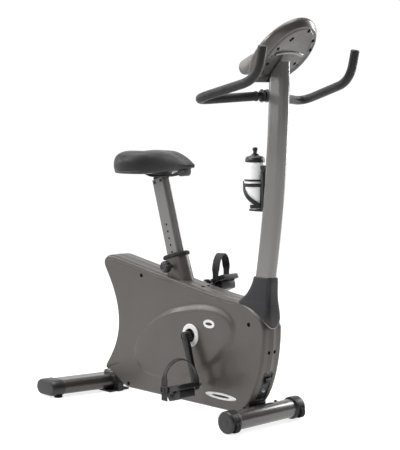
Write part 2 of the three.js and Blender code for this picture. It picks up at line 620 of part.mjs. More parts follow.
// ---------------------------------------------------------------- seat
const SLEEVE = { top: 36, collar: 43 };
function buildSeat() {
  const seat = new THREE.Group();
  seat.position.set(SEAT_PIN.x, 0, SEAT_PIN.z);
  seat.rotation.y = radians(-SEAT_LEAN);
  bike.add(seat);

  const holes = [];
  for (let k = POST_HOLE.first; k <= POST_HOLE.last; k++) {
    holes.push(drum(POST_HOLE.r, -30, -5, 0, k * POST_HOLE.pitch, 12));
  }
  const post = cut(seatPrism(postSection(0), POST.bottom, POST.top),
    seatPrism(postSection(-POST.wall), POST.bottom - 1, POST.top + 1), ...holes);
  add(seat, "seat_post", post, TUBE_GREY);

  const sleeveTop = roundedRectangle(90, 56, 27, 5);
  const sleeveFoot = roundedRectangle(100, 60, 28, 5);
  const sleeveBody = cut(inSeatFrame(seatPrism(sleeveFoot, -70, SLEEVE.top, sleeveTop)),
    casingSolid(GAP, CASING_HALF_WIDTH),
    inSeatFrame(seatPrism(postSection(4), -120, 80)),
    drum(8, -60, -10, SEAT_PIN.x, SEAT_PIN.z, 16));
  add(bike, "seat_sleeve", sleeveBody, CASING_GREY);
  const collarShape = roundedRectangle(106, 66, 32, 5);
  const collar = cut(seatPrism(collarShape, SLEEVE.top + GAP, SLEEVE.collar),
    seatPrism(postSection(0.4), 0, 80));
  add(seat, "sleeve_collar", collar, PLASTIC_BLACK);

  const knob = new THREE.LatheGeometry(
    [[0, 0], [4.5, 0], [4.5, 19], [11, 19], [11, 28], [19, 32], [19, 48], [16, 52], [0, 52]]
      .map(([r, y]) => new THREE.Vector2(r, y)), 24);
  const knobMesh = add(seat, "adjust_knob", knob, PLASTIC_BLACK);
  knobMesh.rotation.x = Math.PI;
  knobMesh.position.y = -POST.width / 2 - 1;

  const clampBase = seatPrism(roundedRectangle(54, 27, 5, 2), POST.top - 30, POST.top + 12);
  add(seat, "saddle_clamp", cut(clampBase, seatPrism(roundedRectangle(80, 12, 3, 2), POST.top - 20, POST.top + 4)),
    FRAME_BLACK);
  add(bike, "saddle_base", saddleBase(), PLASTIC_BLACK);
  add(bike, "saddle_pad", saddlePad(), VINYL);
}

// Plan of the saddle: half width at stations along X, from the tail to the nose.
const SADDLE = [[-346, 86], [-330, 112], [-300, 125], [-262, 124], [-220, 104], [-180, 74], [-140, 50],
  [-100, 38], [-66, 31], [-46, 22], [-38, 12]];
const saddleTop = (x) => 884 - Math.max(0, (x + 190) / 152) ** 2 * 46 - Math.max(0, (-300 - x) / 46) ** 2 * 16;
const saddleFoot = (x) => 803 + Math.max(0, (x + 215) / 177) ** 1.2 * 27;

function saddleRing(low, high, shrink, lift) {
  const across = [[1, 0.15], [1, 0.5], [0.93, 0.8], [0.74, 0.97], [0.4, 1], [0, 0.97]];
  return ([x, half]) => {
    const base = low(x);
    const top = high(x) - lift;
    const w = half - shrink;
    const place = ([s, t], sign) => vector(x, sign * w * s, base + (top - base) * t);
    const under = [vector(x, w * 0.86, base), vector(x, -w * 0.86, base)];
    const leftSide = across.map((p) => place(p, 1)).reverse();
    const rightSide = across.slice(0, -1).map((p) => place(p, -1));
    return [...leftSide, under[0], under[1], ...rightSide];
  };
}

function saddlePad() {
  const rings = SADDLE.map(saddleRing((x) => saddleFoot(x) + 16.3, saddleTop, 0, 0));
  return loft(rings, rings[0].map((p) => new THREE.Vector2(p.y, p.z)));
}

function saddleBase() {
  const rings = SADDLE.slice(1, -1).map(saddleRing((x) => saddleFoot(x) + 4, (x) => saddleFoot(x) + 16, 6, 0));
  const tray = loft(rings, rings[0].map((p) => new THREE.Vector2(p.y, p.z)));
  const mount = block([-246, -22, 795], [-170, 22, 812]);
  const nose = block([-98, -16, 800], [-66, 16, 826]);
  const clampOutline = roundedRectangle(54.8, 27.8, 5, 2);
  const aroundClamp = inSeatFrame(seatPrism(clampOutline, POST.top - 40, POST.top + 12.4));
  const aroundPost = inSeatFrame(seatPrism(postSection(GAP), POST.top - 60, POST.top + GAP));
  return cut(join(tray, mount, nose), aroundClamp, aroundPost);
}

// ---------------------------------------------------------------- mast, boot and handlebar
function buildMast() {
  const mastBore = mastBlank(-MAST.wall, MAST_FOOT_Z - 4).scale(1, 1, 1.02).translate(-0.4, 0, -8);
  const mast = cut(mastBlank(0), behindConsole(GAP), mastBore);
  add(bike, "mast", mast, TUBE_GREY);
  add(bike, "mast_boot", boot(), PLASTIC_BLACK);
}

// Boot that straddles the top front corner of the casing and closes round the mast.
function boot() {
  const levels = [
    [322, 306, 337.5, 30, 26], [340, 285, 338.5, 40, 32], [358, 260, 339, 45.5, 33], [382, 234, 338, 45.5, 31],
    [404, 210, 336, 45.5, 28], [416, 224, 335.5, 42, 26], [436, 243, 335, 37, 24.5], [462, 256, 336, 31, 23.5],
    [488, 262.5, 337.5, 26, 23]];
  const section = ([z, rear, front, half, frontHalf]) => {
    const corner = Math.min(14, half - 2);
    const middle = (front + rear) / 2;
    return roundedRectangle(front - rear, 2 * half, corner, 3).map((p) => {
      const forward = (p.x + middle - rear) / (front - rear);
      return vector(p.x + middle, p.y * (1 - forward * (1 - frontHalf / half)), z);
    });
  };
  const rings = levels.map(section);
  return cut(loft(rings, rings[0].map((p) => new THREE.Vector2(p.x, p.y))),
    casingSolid(GAP, CASING_HALF_WIDTH), mastBlank(GAP, 300));
}

// Points along one side of the bar from the middle to the tip, with every bend sampled the same way.
const GRIP_START = 3; // ring of the bar where the foam grip begins
function barCentres() {
  const corners = BAR.map((p) => vector(...p));
  const points = [vector(BAR[0][0], 1, BAR[0][2])];
  for (let i = 1; i + 1 < corners.length; i++) {
    const before = corners[i - 1].clone().sub(corners[i]).setLength(BAR_BENDS[i - 1]).add(corners[i]);
    const after = corners[i + 1].clone().sub(corners[i]).setLength(BAR_BENDS[i - 1]).add(corners[i]);
    const bend = new THREE.QuadraticBezierCurve3(before, corners[i], after);
    const steps = i === 1 ? 2 : 6;
    points.push(...bend.getPoints(steps));
    if (i === 1) points.push(after.clone().lerp(corners[2], 0.03));
  }
  points.push(corners.at(-1));
  return points;
}

// Rings of a round tube along a list of points, with the sides kept from twisting.
function roundRings(points, r, sides = 12) {
  let side = vector(0, 0, 1);
  return points.map((p, i) => {
    const along = points[Math.min(i + 1, points.length - 1)].clone().sub(points[Math.max(i - 1, 0)]).normalize();
    side = side.clone().addScaledVector(along, -side.dot(along)).normalize();
    const other = along.clone().cross(side);
    return circle(r, sides).map((c) => p.clone().addScaledVector(side, c.x).addScaledVector(other, c.y));
  });
}

function roundBar(points, r, from = 0) {
  return loft(roundRings(points, r).slice(from), circle(r, 12));
}

function buildHandlebar() {
  const centres = barCentres();
  const end = centres.at(-1);
  const upward = end.clone().sub(centres.at(-2)).normalize();
  const past = (d) => [...centres.slice(0, -1), end.clone().addScaledVector(upward, d)];
  const half = cut(roundBar(centres, BAR_RADIUS), roundBar(past(2), BAR_RADIUS - 2, 1));
  add(bike, "handlebar", join(half, mirrored(half)), TUBE_GREY);
  const gripBore = roundBar(centres, BAR_RADIUS + GAP, GRIP_START);
  const grip = cut(roundBar(past(5), GRIP_RADIUS, GRIP_START + 1), gripBore);
  pairs.forEach(([side, sign]) => add(bike, `grip_${side}`, sided(grip, sign), RUBBER));

  const z = BAR[0][2];
  const clampDrum = drum(19, -CLAMP_HALF, CLAMP_HALF, BAR[0][0], z, 20);
  const clampBody = join(clampDrum, block([BAR[0][0], -19, z - 18], [330, 19, z + 18]));
  const bore = roundBar(centres, BAR_RADIUS + GAP);
  add(bike, "handlebar_clamp", cut(clampBody, bore, mirrored(bore), mastBlank(GAP)), PLASTIC_BLACK);
}

// ---------------------------------------------------------------- console
// Local +X runs up the face, local +Y is the rider's left, and local +Z leaves the face towards the rider.
const consoleMatrix = new THREE.Matrix4()
  .makeRotationY(radians(-CONSOLE.tilt))
  .setPosition(CONSOLE.x, 0, CONSOLE.z);

function consoleBody(levels) {
  const rings = levels.map(([a, b, z, shift]) =>
    Array.from({ length: 40 }, (_, i) => {
      const t = (2 * Math.PI * i) / 40;
      return vector(a * Math.cos(t) + shift, b * Math.sin(t), z);
    }));
  return loft(rings, rings[0].map((p) => new THREE.Vector2(p.x, p.y)));
}

// Key pad that reaches towards the rider below the display, in the side plane of the bike.
const PAD = [[236, 1152], [235, 1163], [240, 1174], [252, 1183], [303, 1204], [342, 1211], [338, 1190], [304, 1152],
  [292, 1140], [264, 1136], [246, 1140]];
const PAD_HALF = 66;
const PAD_SLOPE = 22.4;
const KEYS = [["up_key", 42, 14, WHITE], ["start_key", 0, 18, RED], ["down_key", -42, 14, WHITE]];

function keyBlock(y, half, low, high, gap) {
  return block([-9 - gap, y - half - gap, low], [9 + gap, y + half + gap, high])
    .rotateY(radians(-PAD_SLOPE))
    .translate(277, 0, 1193.3);
}

function buildConsole() {
  const unit = new THREE.Group();
  unit.position.set(CONSOLE.x, 0, CONSOLE.z);
  unit.rotation.y = radians(-CONSOLE.tilt);
  bike.add(unit);
  const toConsole = consoleMatrix.clone().invert();
  const belowFoot = block([100, -200, 900], [600, 200, CONSOLE.foot]).applyMatrix4(toConsole);

  const outer = consoleBody([[100, 84, -21, 9], [112, 95, -19, 9], [119, 101, -14, 8], [130, 111, -5, 3],
    [135, 116, 2, 0], [135, 116, 8, 0]]);
  const inner = consoleBody([[108, 91, -16, 9], [116, 98, -11, 8], [131, 112, 0, 1], [132, 113, 12, 0]]);
  add(unit, "console_back", cut(outer, inner, belowFoot), CONSOLE_GREY);

  const front = join(
    consoleBody([[135, 116, 8 + GAP, 0], [131, 112, 13, 0], [121, 104, 16, 0]]),
    loft([-PAD_HALF, -PAD_HALF + 8, PAD_HALF - 8, PAD_HALF].map((y) => PAD.map(([x, z]) => {
      const shrink = Math.abs(y) > PAD_HALF - 1 ? 0.82 : 1;
      return vector(286 + (x - 286) * shrink, y, 1172 + (z - 1172) * shrink);
    })), PAD.map((c) => new THREE.Vector2(...c))).applyMatrix4(toConsole));
  const window = block([4, -58, 13], [92, 58, 40]);
  const keySlots = KEYS.map(([, y, half]) => keyBlock(y, half, -6, 20, 0.5).applyMatrix4(toConsole));
  add(unit, "console_front", cut(front, window, belowFoot, ...keySlots), CONSOLE_GREY);
  add(unit, "display_lens", block([4 + GAP, -58 + GAP, 13 + GAP], [92 - GAP, 58 - GAP, 15.6]), LENS);
  KEYS.forEach(([name, y, half, finish]) => add(bike, name, keyBlock(y, half, -4.8, 2.2, 0), finish));
  add(bike, "console_neck", consoleNeck(), PLASTIC_BLACK);
}

// Black neck that closes the gap between the mast and the back of the console.
function consoleNeck() {
  const side = [[268, 1113], [322, 1113], [356, 1160], [372, 1196], [330, 1196], [268, 1128]];
  return cut(sidePlate(side.map((c) => new THREE.Vector2(...c)), -26, 26), mastBlank(GAP), behindConsole(GAP));
}

// Everything on the rider's side of the console's back plate.
const behindConsole = (gap) => block([-400, -300, -21 - gap], [400, 300, 400]).applyMatrix4(consoleMatrix);

// ---------------------------------------------------------------- bottle and cage
function buildBottle() {
  const at = (mesh) => mesh.position.set(BOTTLE.x, 0, BOTTLE.bottom);
  const lathe = (profile, sides = 28) =>
    new THREE.LatheGeometry(profile.map(([r, y]) => new THREE.Vector2(r, y)), sides).rotateX(Math.PI / 2);
  const body = lathe([[0, 0], [33, 0], [35, 3], [35, 84], [32.5, 88], [32.5, 95], [35, 99], [35, 128],
    [32, 136], [31, 146], [0, 146]]);
  at(add(bike, "bottle", body, WHITE));
  const cap = cut(lathe([[0, 146.3], [31.5, 146.3], [31.5, 158], [28, 164], [12, 172], [11.5, 177], [0, 177]]),
    new THREE.CylinderGeometry(7, 7, 30, 16).rotateX(Math.PI / 2).translate(0, 0, 185));
  at(add(bike, "bottle_cap", cap, PLASTIC_BLACK));
  at(add(bike, "bottle_valve", lathe([[0, 171], [6.5, 171], [6.5, 186], [8.5, 188], [8.5, 194], [6, 198], [0, 198]], 16),
    PLASTIC_BLACK));
  add(bike, "bottle_cage", cage(), PLASTIC_BLACK);
}

// Cage: a spine on the back of the mast, a floor, a hoop, two side arms and a hook that keeps the bottle in.
function cage() {
  const r = BOTTLE.r + 0.8;
  const ringAt = (zLow, zHigh, thick) => {
    const hoop = new THREE.LatheGeometry([[r, 0], [r + thick, 0], [r + thick, zHigh - zLow], [r, zHigh - zLow], [r, 0]]
      .map(([x, y]) => new THREE.Vector2(x, y)), 28).rotateX(Math.PI / 2);
    return hoop.translate(BOTTLE.x, 0, zLow);
  };
  const bottom = BOTTLE.bottom;
  const spine = block([BOTTLE.x + r + 0.4, -13, bottom - 8], [320, 13, bottom + 118]);
  const floor = block([BOTTLE.x - 12, -16, bottom - 8], [BOTTLE.x + r + 4, 16, bottom - 1]);
  const lowHoop = common(ringAt(bottom - 6, bottom + 20, 3), block([BOTTLE.x + 6, -50, 0], [400, 50, 2000]));
  const sideArm = (sign) => {
    const path = [[12, 10], [-8, 34], [-26, 74], [-14, 82], [10, 60], [30, 14]].map(([x, z]) =>
      new THREE.Vector2(BOTTLE.x + x, bottom + z));
    const wall = common(ringAt(bottom + 4, bottom + 90, 3), sidePlate(path, sign > 0 ? 2 : -60, sign > 0 ? 60 : -2));
    return wall;
  };
  const hoop = ringAt(bottom + 72, bottom + 82, 3);
  const hook = join(block([BOTTLE.x + r + 0.4, -9, bottom + 112], [320, 9, bottom + 134]),
    drum(8, -9, 9, BOTTLE.x + r + 2.5, bottom + 133, 16));
  const all = join(spine, floor, lowHoop, hoop, sideArm(1), sideArm(-1), hook);
  return cut(all, mastBlank(GAP), new THREE.CylinderGeometry(r - 0.3, r - 0.3, 170, 28).rotateX(Math.PI / 2)
    .translate(BOTTLE.x, 0, bottom + 84.7));
}

// ---------------------------------------------------------------- power switch
const ROCKER = { x: 305, z: 153, yLow: -8.4, yHigh: 14.4 };
function buildSwitch() {
  const side = [[-7, -8.5], [7.8, -8], [6, 0], [7.8, 8], [-7, 8.5]];
  const rocker = sidePlate(side.map(([x, z]) => new THREE.Vector2(ROCKER.x + x, ROCKER.z + z)),
    ROCKER.yLow, ROCKER.yHigh);
  add(bike, "power_switch", rocker, PLASTIC_BLACK);
}

buildBase();
buildFrame();
buildCasing();
buildDrive();
buildPedals();
buildSeat();
buildMast();
buildHandlebar();
buildConsole();
buildBottle();
buildSwitch();

export default bike;
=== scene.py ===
import json
import math
from math import cos, hypot, pi, radians, sin, tan

import bmesh
import bpy
from mathutils import Matrix, Vector


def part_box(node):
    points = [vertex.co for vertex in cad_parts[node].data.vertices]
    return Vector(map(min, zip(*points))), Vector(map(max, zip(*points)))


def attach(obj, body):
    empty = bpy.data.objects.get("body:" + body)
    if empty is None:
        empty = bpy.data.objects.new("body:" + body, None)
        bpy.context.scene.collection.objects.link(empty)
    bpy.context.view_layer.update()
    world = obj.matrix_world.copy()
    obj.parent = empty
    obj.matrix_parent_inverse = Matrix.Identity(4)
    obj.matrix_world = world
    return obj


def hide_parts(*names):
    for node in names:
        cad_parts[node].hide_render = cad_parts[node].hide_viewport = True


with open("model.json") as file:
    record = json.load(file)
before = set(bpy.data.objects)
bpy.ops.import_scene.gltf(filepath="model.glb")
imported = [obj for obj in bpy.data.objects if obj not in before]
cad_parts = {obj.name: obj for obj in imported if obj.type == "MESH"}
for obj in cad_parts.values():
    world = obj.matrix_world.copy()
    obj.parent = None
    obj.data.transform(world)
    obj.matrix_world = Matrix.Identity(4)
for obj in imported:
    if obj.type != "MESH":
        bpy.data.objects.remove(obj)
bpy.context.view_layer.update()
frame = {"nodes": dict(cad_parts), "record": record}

# Shapes are written in millimetres, with X measured from the crank axle. row() turns them into metres.
BODY_OF = {n: b for b, members in frame["record"]["behaviour"]["bodies"].items() for n in members}
cover_low, cover_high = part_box("crank_cover_right")
SHIFT = (cover_low.x + cover_high.x) * 500
RIGHT, LEFT = -1, 1  # the sign of Y on each side of the bike
SIDES = ((RIGHT, "right"), (LEFT, "left"))

CRANK_Z, CRANK_LENGTH, CRANK_ANGLE = 268, 170, 21.5
SEAT_PIN, SEAT_LEAN, HOLE_PITCH = (-114, 0, 491), 17, 24.4
CONSOLE_AT, CONSOLE_TILT = (372, 0, 1204), 47
PLATEAU = {"x": -42, "z": 239, "a": 260, "b": 115.5, "turn": 19.4, "rise": 7, "slope": 14}
HALF, SKIN = 44, 2.6  # half width and wall of the casing
WELD = 0.002  # points closer than this are one point
LONG_EDGE, BESIDE = 12, 2.5  # an edge longer than this gets a point this near to each corner


def row(v):
    return Vector(((v[0] + SHIFT) / 1000, v[1] / 1000, v[2] / 1000))


# --- curves and numbers
def smooth(t):
    t = min(1.0, max(0.0, t))
    return t * t * (3 - 2 * t)


def lerp(a, b, t):
    return a + (b - a) * t


def bezier(p0, p1, p2, p3, steps):
    """Points on a cubic after its first one."""
    out = []
    for i in range(1, steps + 1):
        t = i / steps
        u = 1 - t
        out.append(tuple(u**3 * a + 3 * u * u * t * b + 3 * u * t * t * c + t**3 * d
                         for a, b, c, d in zip(p0, p1, p2, p3)))
    return out


def catmull(points, per, closed=False):
    """A smooth line through the points, with `per` steps between neighbours."""
    points = [tuple(p) for p in points]
    n = len(points)
    out = []
    for i in range(n if closed else n - 1):
        p = [points[(i + k) % n] if closed else points[min(max(i + k, 0), n - 1)] for k in (-1, 0, 1, 2)]
        for s in range(per):
            t = s / per
            out.append(tuple(0.5 * (2 * b + (c - a) * t + (2 * a - 5 * b + 4 * c - d) * t * t
                                    + (3 * b - a - 3 * c + d) * t**3) for a, b, c, d in zip(*p)))
    return out if closed else out + [points[-1]]


def fillet(points, radius, steps=4, closed=False):
    """The polyline with its corners rounded by about the radius."""
    points = [Vector(p) for p in points]
    n = len(points)
    out = []
    for i, p in enumerate(points):
        if not closed and i in (0, n - 1):
            out.append(tuple(p))
            continue
        back, on = points[i - 1] - p, points[(i + 1) % n] - p
        d = min(radius, back.length * 0.48, on.length * 0.48)
        a, b = p + back.normalized() * d, p + on.normalized() * d
        for s in range(steps + 1):
            t = s / steps
            out.append(tuple((1 - t) ** 2 * a + 2 * t * (1 - t) * p + t * t * b))
    return out


def round_box(length, width, corner, steps=6, plain=False):
    """A rounded rectangle, with extra points beside the corners unless it is plain."""
    out = []
    cx, cy = length / 2 - corner, width / 2 - corner
    for x, y, start in ((cx, cy, 0), (-cx, cy, 90), (-cx, -cy, 180), (cx, -cy, 270)):
        for i in range(steps + 1):
            a = radians(start + 90 * i / steps)
            out.append((x + corner * cos(a), y + corner * sin(a)))
    if plain:
        return out
    flat = []
    for i, (x, y) in enumerate(out):
        flat.append((x, y))
        if i % (steps + 1) == steps:
            u, v = out[(i + 1) % len(out)]
            gap = hypot(u - x, v - y)
            if gap > LONG_EDGE:
                k = BESIDE / gap
                flat += [(lerp(x, u, k), lerp(y, v, k)), (lerp(u, x, k), lerp(v, y, k))]
    return flat


def circle(r, sides):
    return [(r * cos(2 * pi * i / sides), r * sin(2 * pi * i / sides)) for i in range(sides)]


def oval(a, b, z, sides):
    return [(a * cos(2 * pi * i / sides), b * sin(2 * pi * i / sides), z) for i in range(sides)]


# --- shapes: (verts, faces)
def grid(rings, wrap=True, caps=False):
    n = len(rings[0])
    faces = []
    for k in range(len(rings) - 1):
        for i in range(n if wrap else n - 1):
            a, b = k * n + i, k * n + (i + 1) % n
            faces.append((a, b, b + n, a + n))
    if caps:
        last = (len(rings) - 1) * n
        faces += [tuple(range(n)), tuple(range(last, last + n))]
    return [Vector(v) for ring in rings for v in ring], faces


def loft(rings):
    return grid(rings, caps=True)


def joined(*shapes):
    verts, faces = [], []
    for v, f in shapes:
        faces += [tuple(i + len(verts) for i in face) for face in f]
        verts += list(v)
    return verts, faces


def moved(shape, matrix):
    return [matrix @ Vector(v) for v in shape[0]], shape[1]


def shifted(shape, x=0, y=0, z=0):
    return moved(shape, Matrix.Translation((x, y, z)))


def sided(shape, side):
    """A shape modelled on the rider's right, at -Y, put on either side."""
    return shape if side == RIGHT else ([Vector((v[0], -v[1], v[2])) for v in shape[0]], shape[1])


def turned(axis, degrees):
    return Matrix.Rotation(radians(degrees), 4, axis)


def turned_to(normal):
    """The rotation that takes +Z to a direction."""
    return Vector((0, 0, 1)).rotation_difference(Vector(normal).normalized()).to_matrix().to_4x4()


ALONG_Y = turned("X", -90)  # takes local +Z to +Y


def lathe(profile, sides=48, flutes=0, depth=0.0):
    """Revolves (radius, height) points about Z. Flutes are grooves in the outermost points."""
    widest = max(r for r, _ in profile)
    rings = []
    for i in range(sides):
        a = 2 * pi * i / sides
        dip = depth * (0.5 - 0.5 * cos(flutes * a)) if flutes else 0
        pressed = [(r - (dip if r > widest * 0.8 else 0), h) for r, h in profile]
        rings.append([(r * cos(a), r * sin(a), h) for r, h in pressed])
    rings.append(rings[0])
    return grid(rings, wrap=False)


def spun(profile, sides=48, x=0, y=0, z=0):
    """Revolves (radius, y) points about a line along Y."""
    return shifted(moved(lathe(profile, sides), ALONG_Y), x, y, z)


def drum(r, y0, y1, x=0, z=0, sides=40, round_by=0.0):
    """A cylinder along Y, with rounded edges if asked."""
    profile = [(0, y0), (r, y0), (r, y1), (0, y1)]
    return spun(fillet(profile, round_by) if round_by else profile, sides, x, z=z)


def sweep(path, section, up):
    """Section (u, v) carried along the path: v follows `up(i)`, and u is across it."""
    rings = []
    for i, p in enumerate(path):
        along = (Vector(path[min(i + 1, len(path) - 1)]) - Vector(path[max(i - 1, 0)])).normalized()
        normal = Vector(up(i))
        across = along.cross(normal).normalized()
        normal = across.cross(along).normalized()
        rings.append([Vector(p) + across * u + normal * v for u, v in section])
    return loft(rings)


def tube(path, r, sides=24, r_at=None):
    """Round tube along a path, without twist."""
    side = Vector((0, 0, 1))
    rings = []
    for i, p in enumerate(path):
        along = (Vector(path[min(i + 1, len(path) - 1)]) - Vector(path[max(i - 1, 0)])).normalized()
        side = (side - along * side.dot(along)).normalized()
        other = along.cross(side)
        radius = r_at(i) if r_at else r
        rings.append([Vector(p) + side * u * radius + other * v * radius for u, v in circle(1, sides)])
    return loft(rings)


def slab(points, y0, y1):
    """Prism from an outline in the side plane."""
    return loft([[(x, y, z) for x, z in points] for y in (y0, y1)])


def block(low, high):
    x0, y0, z0 = low
    x1, y1, z1 = high
    return loft([[(x0, y0, z), (x1, y0, z), (x1, y1, z), (x0, y1, z)] for z in (z0, z1)])


def mesh_of(name, shape, scale=False, bevel=0.0, sharp=38):
    verts, faces = shape
    bm = bmesh.new()
    made = [bm.verts.new(row(v) if scale else v) for v in verts]
    for face in faces:
        corners = [made[i] for i in dict.fromkeys(face)]
        if len(corners) > 2:
            try:
                bm.faces.new(corners)
            except ValueError:
                pass  # the same face twice, as where a ring shrinks to a line
    unit = 0.001 if scale else 1.0
    bmesh.ops.remove_doubles(bm, verts=bm.verts, dist=WELD * unit)
    bmesh.ops.recalc_face_normals(bm, faces=bm.faces)
    if bevel:
        edges = [e for e in bm.edges if len(e.link_faces) == 2 and e.calc_face_angle(0) > radians(30)]
        bmesh.ops.bevel(bm, geom=edges, offset=bevel * unit, offset_type="OFFSET", segments=2, profile=0.6,
                        affect="EDGES", clamp_overlap=True)
    mesh = bpy.data.meshes.new(name)
    bm.to_mesh(mesh)
    bm.free()
    mesh.polygons.foreach_set("use_smooth", [True] * len(mesh.polygons))
    mesh.set_sharp_from_angle(angle=radians(sharp))
    return mesh


def carved(shape, *tools):
    """The shape with the tools cut out of it."""
    scene = bpy.context.scene
    objects = []
    for i, s in enumerate((shape, joined(*tools))):
        o = bpy.data.objects.new(f"cut_{i}", mesh_of(f"cut_{i}", s))
        scene.collection.objects.link(o)
        objects.append(o)
    boolean = objects[0].modifiers.new("cut", "BOOLEAN")
    boolean.operation = "DIFFERENCE"
    boolean.solver = "EXACT"
    boolean.use_self = True
    boolean.object = objects[1]
    bpy.context.view_layer.update()
    mesh = objects[0].evaluated_get(bpy.context.evaluated_depsgraph_get()).to_mesh()
    result = [v.co.copy() for v in mesh.vertices], [tuple(p.vertices) for p in mesh.polygons]
    for o in objects:
        bpy.data.objects.remove(o)
    return result


def piece(name, shape, material, stands_for=(), body=None, bevel=0.0, sharp=38, thickness=0.0):
    """A finished piece in the frame. It rides on the named body, or its node's body, or the base."""
    stands_for = (stands_for,) if isinstance(stands_for, str) else stands_for
    o = bpy.data.objects.new(name, mesh_of(name, shape, scale=True, bevel=bevel, sharp=sharp))
    bpy.context.scene.collection.objects.link(o)
    if thickness:
        skin = o.modifiers.new("thickness", "SOLIDIFY")
        skin.thickness = thickness / 1000
        skin.offset = -1
    o.data.materials.append(material)
    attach(o, body or (BODY_OF[stands_for[0]] if stands_for else "base"))
    if stands_for:
        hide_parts(*stands_for)
    return o


# --- materials
CLOUDS, UNEVEN, RUBBED, FLAKES = 9, 34, 140, 2600  # noise scales
EDGE_LOW, EDGE_HIGH = 0.55, 0.64  # how sharp an edge is before it wears, and where it is fully worn
GRAIN_DEPTH, CELL_DEPTH = 0.0004, 0.0006


def put(node, values):
    """Sets the node's inputs by name."""
    for key, value in values.items():
        node.inputs[key].default_value = value
    return node


def surface(name, slot, color, rough, metal=0.0, grain=1300, bump=0.10, cells=0.0, cell_bump=0.0, vary=0.10,
            wear=0.0, spread=0.10, coat=0.0, sheen=0.0, stretch=(1, 1, 1), flakes=0.0, clear=0.0, lines=0.0,
            gloss=0.5):
    """A finish with colour clouds, flakes, worn edges, uneven roughness, and a grain or leather relief."""
    mat = bpy.data.materials.new(name)
    mat.use_nodes = True
    nodes, link = mat.node_tree.nodes, mat.node_tree.links.new
    bsdf = nodes["Principled BSDF"]
    place = nodes.new("ShaderNodeTexCoord").outputs["Object"]
    scaled = put(nodes.new("ShaderNodeMapping"), {"Scale": stretch})
    link(place, scaled.inputs["Vector"])

    def noise(scale, detail, source=place, roughness=0.55):
        n = put(nodes.new("ShaderNodeTexNoise"), {"Scale": scale, "Detail": detail, "Roughness": roughness})
        link(source, n.inputs["Vector"])
        return n.outputs["Fac"]

    def span(value, low, high, from_low=0.3, from_high=0.7):
        n = put(nodes.new("ShaderNodeMapRange"),
                {"From Min": from_low, "From Max": from_high, "To Min": low, "To Max": high})
        link(value, n.inputs["Value"])
        return n.outputs["Result"]

    def mixed(factor, a, b):
        n = nodes.new("ShaderNodeMix")
        n.data_type = "RGBA"
        for i, v in ((0, factor), (6, a), (7, b)):
            if isinstance(v, (float, int)):
                n.inputs[i].default_value = v
            elif isinstance(v, tuple):
                n.inputs[i].default_value = (*v, 1)
            else:
                link(v, n.inputs[i])
        return n.outputs[2]

    def tinted(k):
        return tuple(min(1.0, c * k) for c in color)

    tone = mixed(span(noise(CLOUDS, 3), 0, 1), tinted(1 - vary), tinted(1 + vary))
    fine = noise(grain, 2, scaled.outputs["Vector"])
    if flakes:
        tone = mixed(span(noise(FLAKES, 0), 0, flakes, 0.62, 0.75), tone, tinted(1.6))
    if wear:
        edge = nodes.new("ShaderNodeNewGeometry").outputs["Pointiness"]
        rubbed = nodes.new("ShaderNodeMath")
        rubbed.operation = "MULTIPLY"
        link(span(edge, 0, wear, EDGE_LOW, EDGE_HIGH), rubbed.inputs[0])
        link(span(noise(RUBBED, 4), 0, 1, 0.4, 0.65), rubbed.inputs[1])
        tone = mixed(rubbed.outputs["Value"], tone, tinted(2.2))
    link(tone, bsdf.inputs["Base Color"])
    uneven = mixed(0.5, span(noise(UNEVEN, 4), rough - spread, rough + spread),
                   span(fine, rough - spread, rough + spread))
    link(uneven, bsdf.inputs["Roughness"])
    put(bsdf, {"Metallic": metal, "Coat Weight": coat, "Coat Roughness": 0.12, "Specular IOR Level": gloss,
               "Sheen Weight": sheen, "Sheen Roughness": 0.45})
    if clear:
        put(bsdf, {"Transmission Weight": clear, "IOR": 1.45})
    normal = None

    def raised(height, strength, depth):
        nonlocal normal
        n = put(nodes.new("ShaderNodeBump"), {"Strength": strength, "Distance": depth})
        link(height, n.inputs["Height"])
        if normal is not None:
            link(normal, n.inputs["Normal"])
        normal = n.outputs["Normal"]

    if cells:
        n = put(nodes.new("ShaderNodeTexVoronoi"), {"Scale": cells})
        link(place, n.inputs["Vector"])
        raised(n.outputs["Distance"], cell_bump, CELL_DEPTH)
    if lines:
        n = put(nodes.new("ShaderNodeTexWave"), {"Scale": lines, "Distortion": 0.4})
        link(scaled.outputs["Vector"], n.inputs["Vector"])
        raised(n.outputs["Fac"], 0.35, GRAIN_DEPTH)
    raised(fine, bump, GRAIN_DEPTH)
    link(normal, bsdf.inputs["Normal"])
    return mat


SHELL = {"grain": 900, "vary": 0.05, "wear": 0.25, "flakes": 0.35}
METALLIC = {"metal": 0.6, "grain": 700, "bump": 0.03, "wear": 0.2, "flakes": 0.35, "coat": 0.25,
            "spread": 0.025}
CASING = surface("casing_paint", "casing", (0.078, 0.0695, 0.064), 0.38, metal=0.45, bump=0.05, coat=0.12,
                 **SHELL)
HEAD = surface("console_paint", "console_casing", (0.1, 0.091, 0.089), 0.32, metal=0.5, bump=0.04, coat=0.15,
               **SHELL)
TUBE = surface("tube_paint", "painted_tube", (0.185, 0.179, 0.174), 0.25, vary=0.02, **METALLIC)
# The tube paint again, darker on the front tube, whose top takes the overhead light: painted shade.
SHADED_FRONT_TUBE = surface("front_tube_shaded_paint", "painted_tube", (0.12, 0.116, 0.115), 0.25, vary=0.02, **METALLIC)
REAR = surface("rear_tube_paint", "painted_tube", (0.064, 0.058, 0.053), 0.25, vary=0.03, **METALLIC)
BAR_PAINT = surface("bar_paint", "painted_tube", (0.03, 0.03, 0.031), 0.34, metal=0.4, grain=700, bump=0.04,
                    wear=0.3, coat=0.15)
BLACK_PAINT = surface("black_paint", "painted_black", (0.012, 0.012, 0.012), 0.4, metal=0.2, grain=800,
                      bump=0.06, wear=0.5, coat=0.1, gloss=0.3)
# Near black and matt. On the screws and the rings round them this paints the shade of the screw recesses.
MATT_BLACK_AND_SHADE = surface("matt_black_and_shade", "painted_black", (0.003, 0.003, 0.003), 0.85, grain=1500, bump=0.1, wear=0.1,
               gloss=0.08)
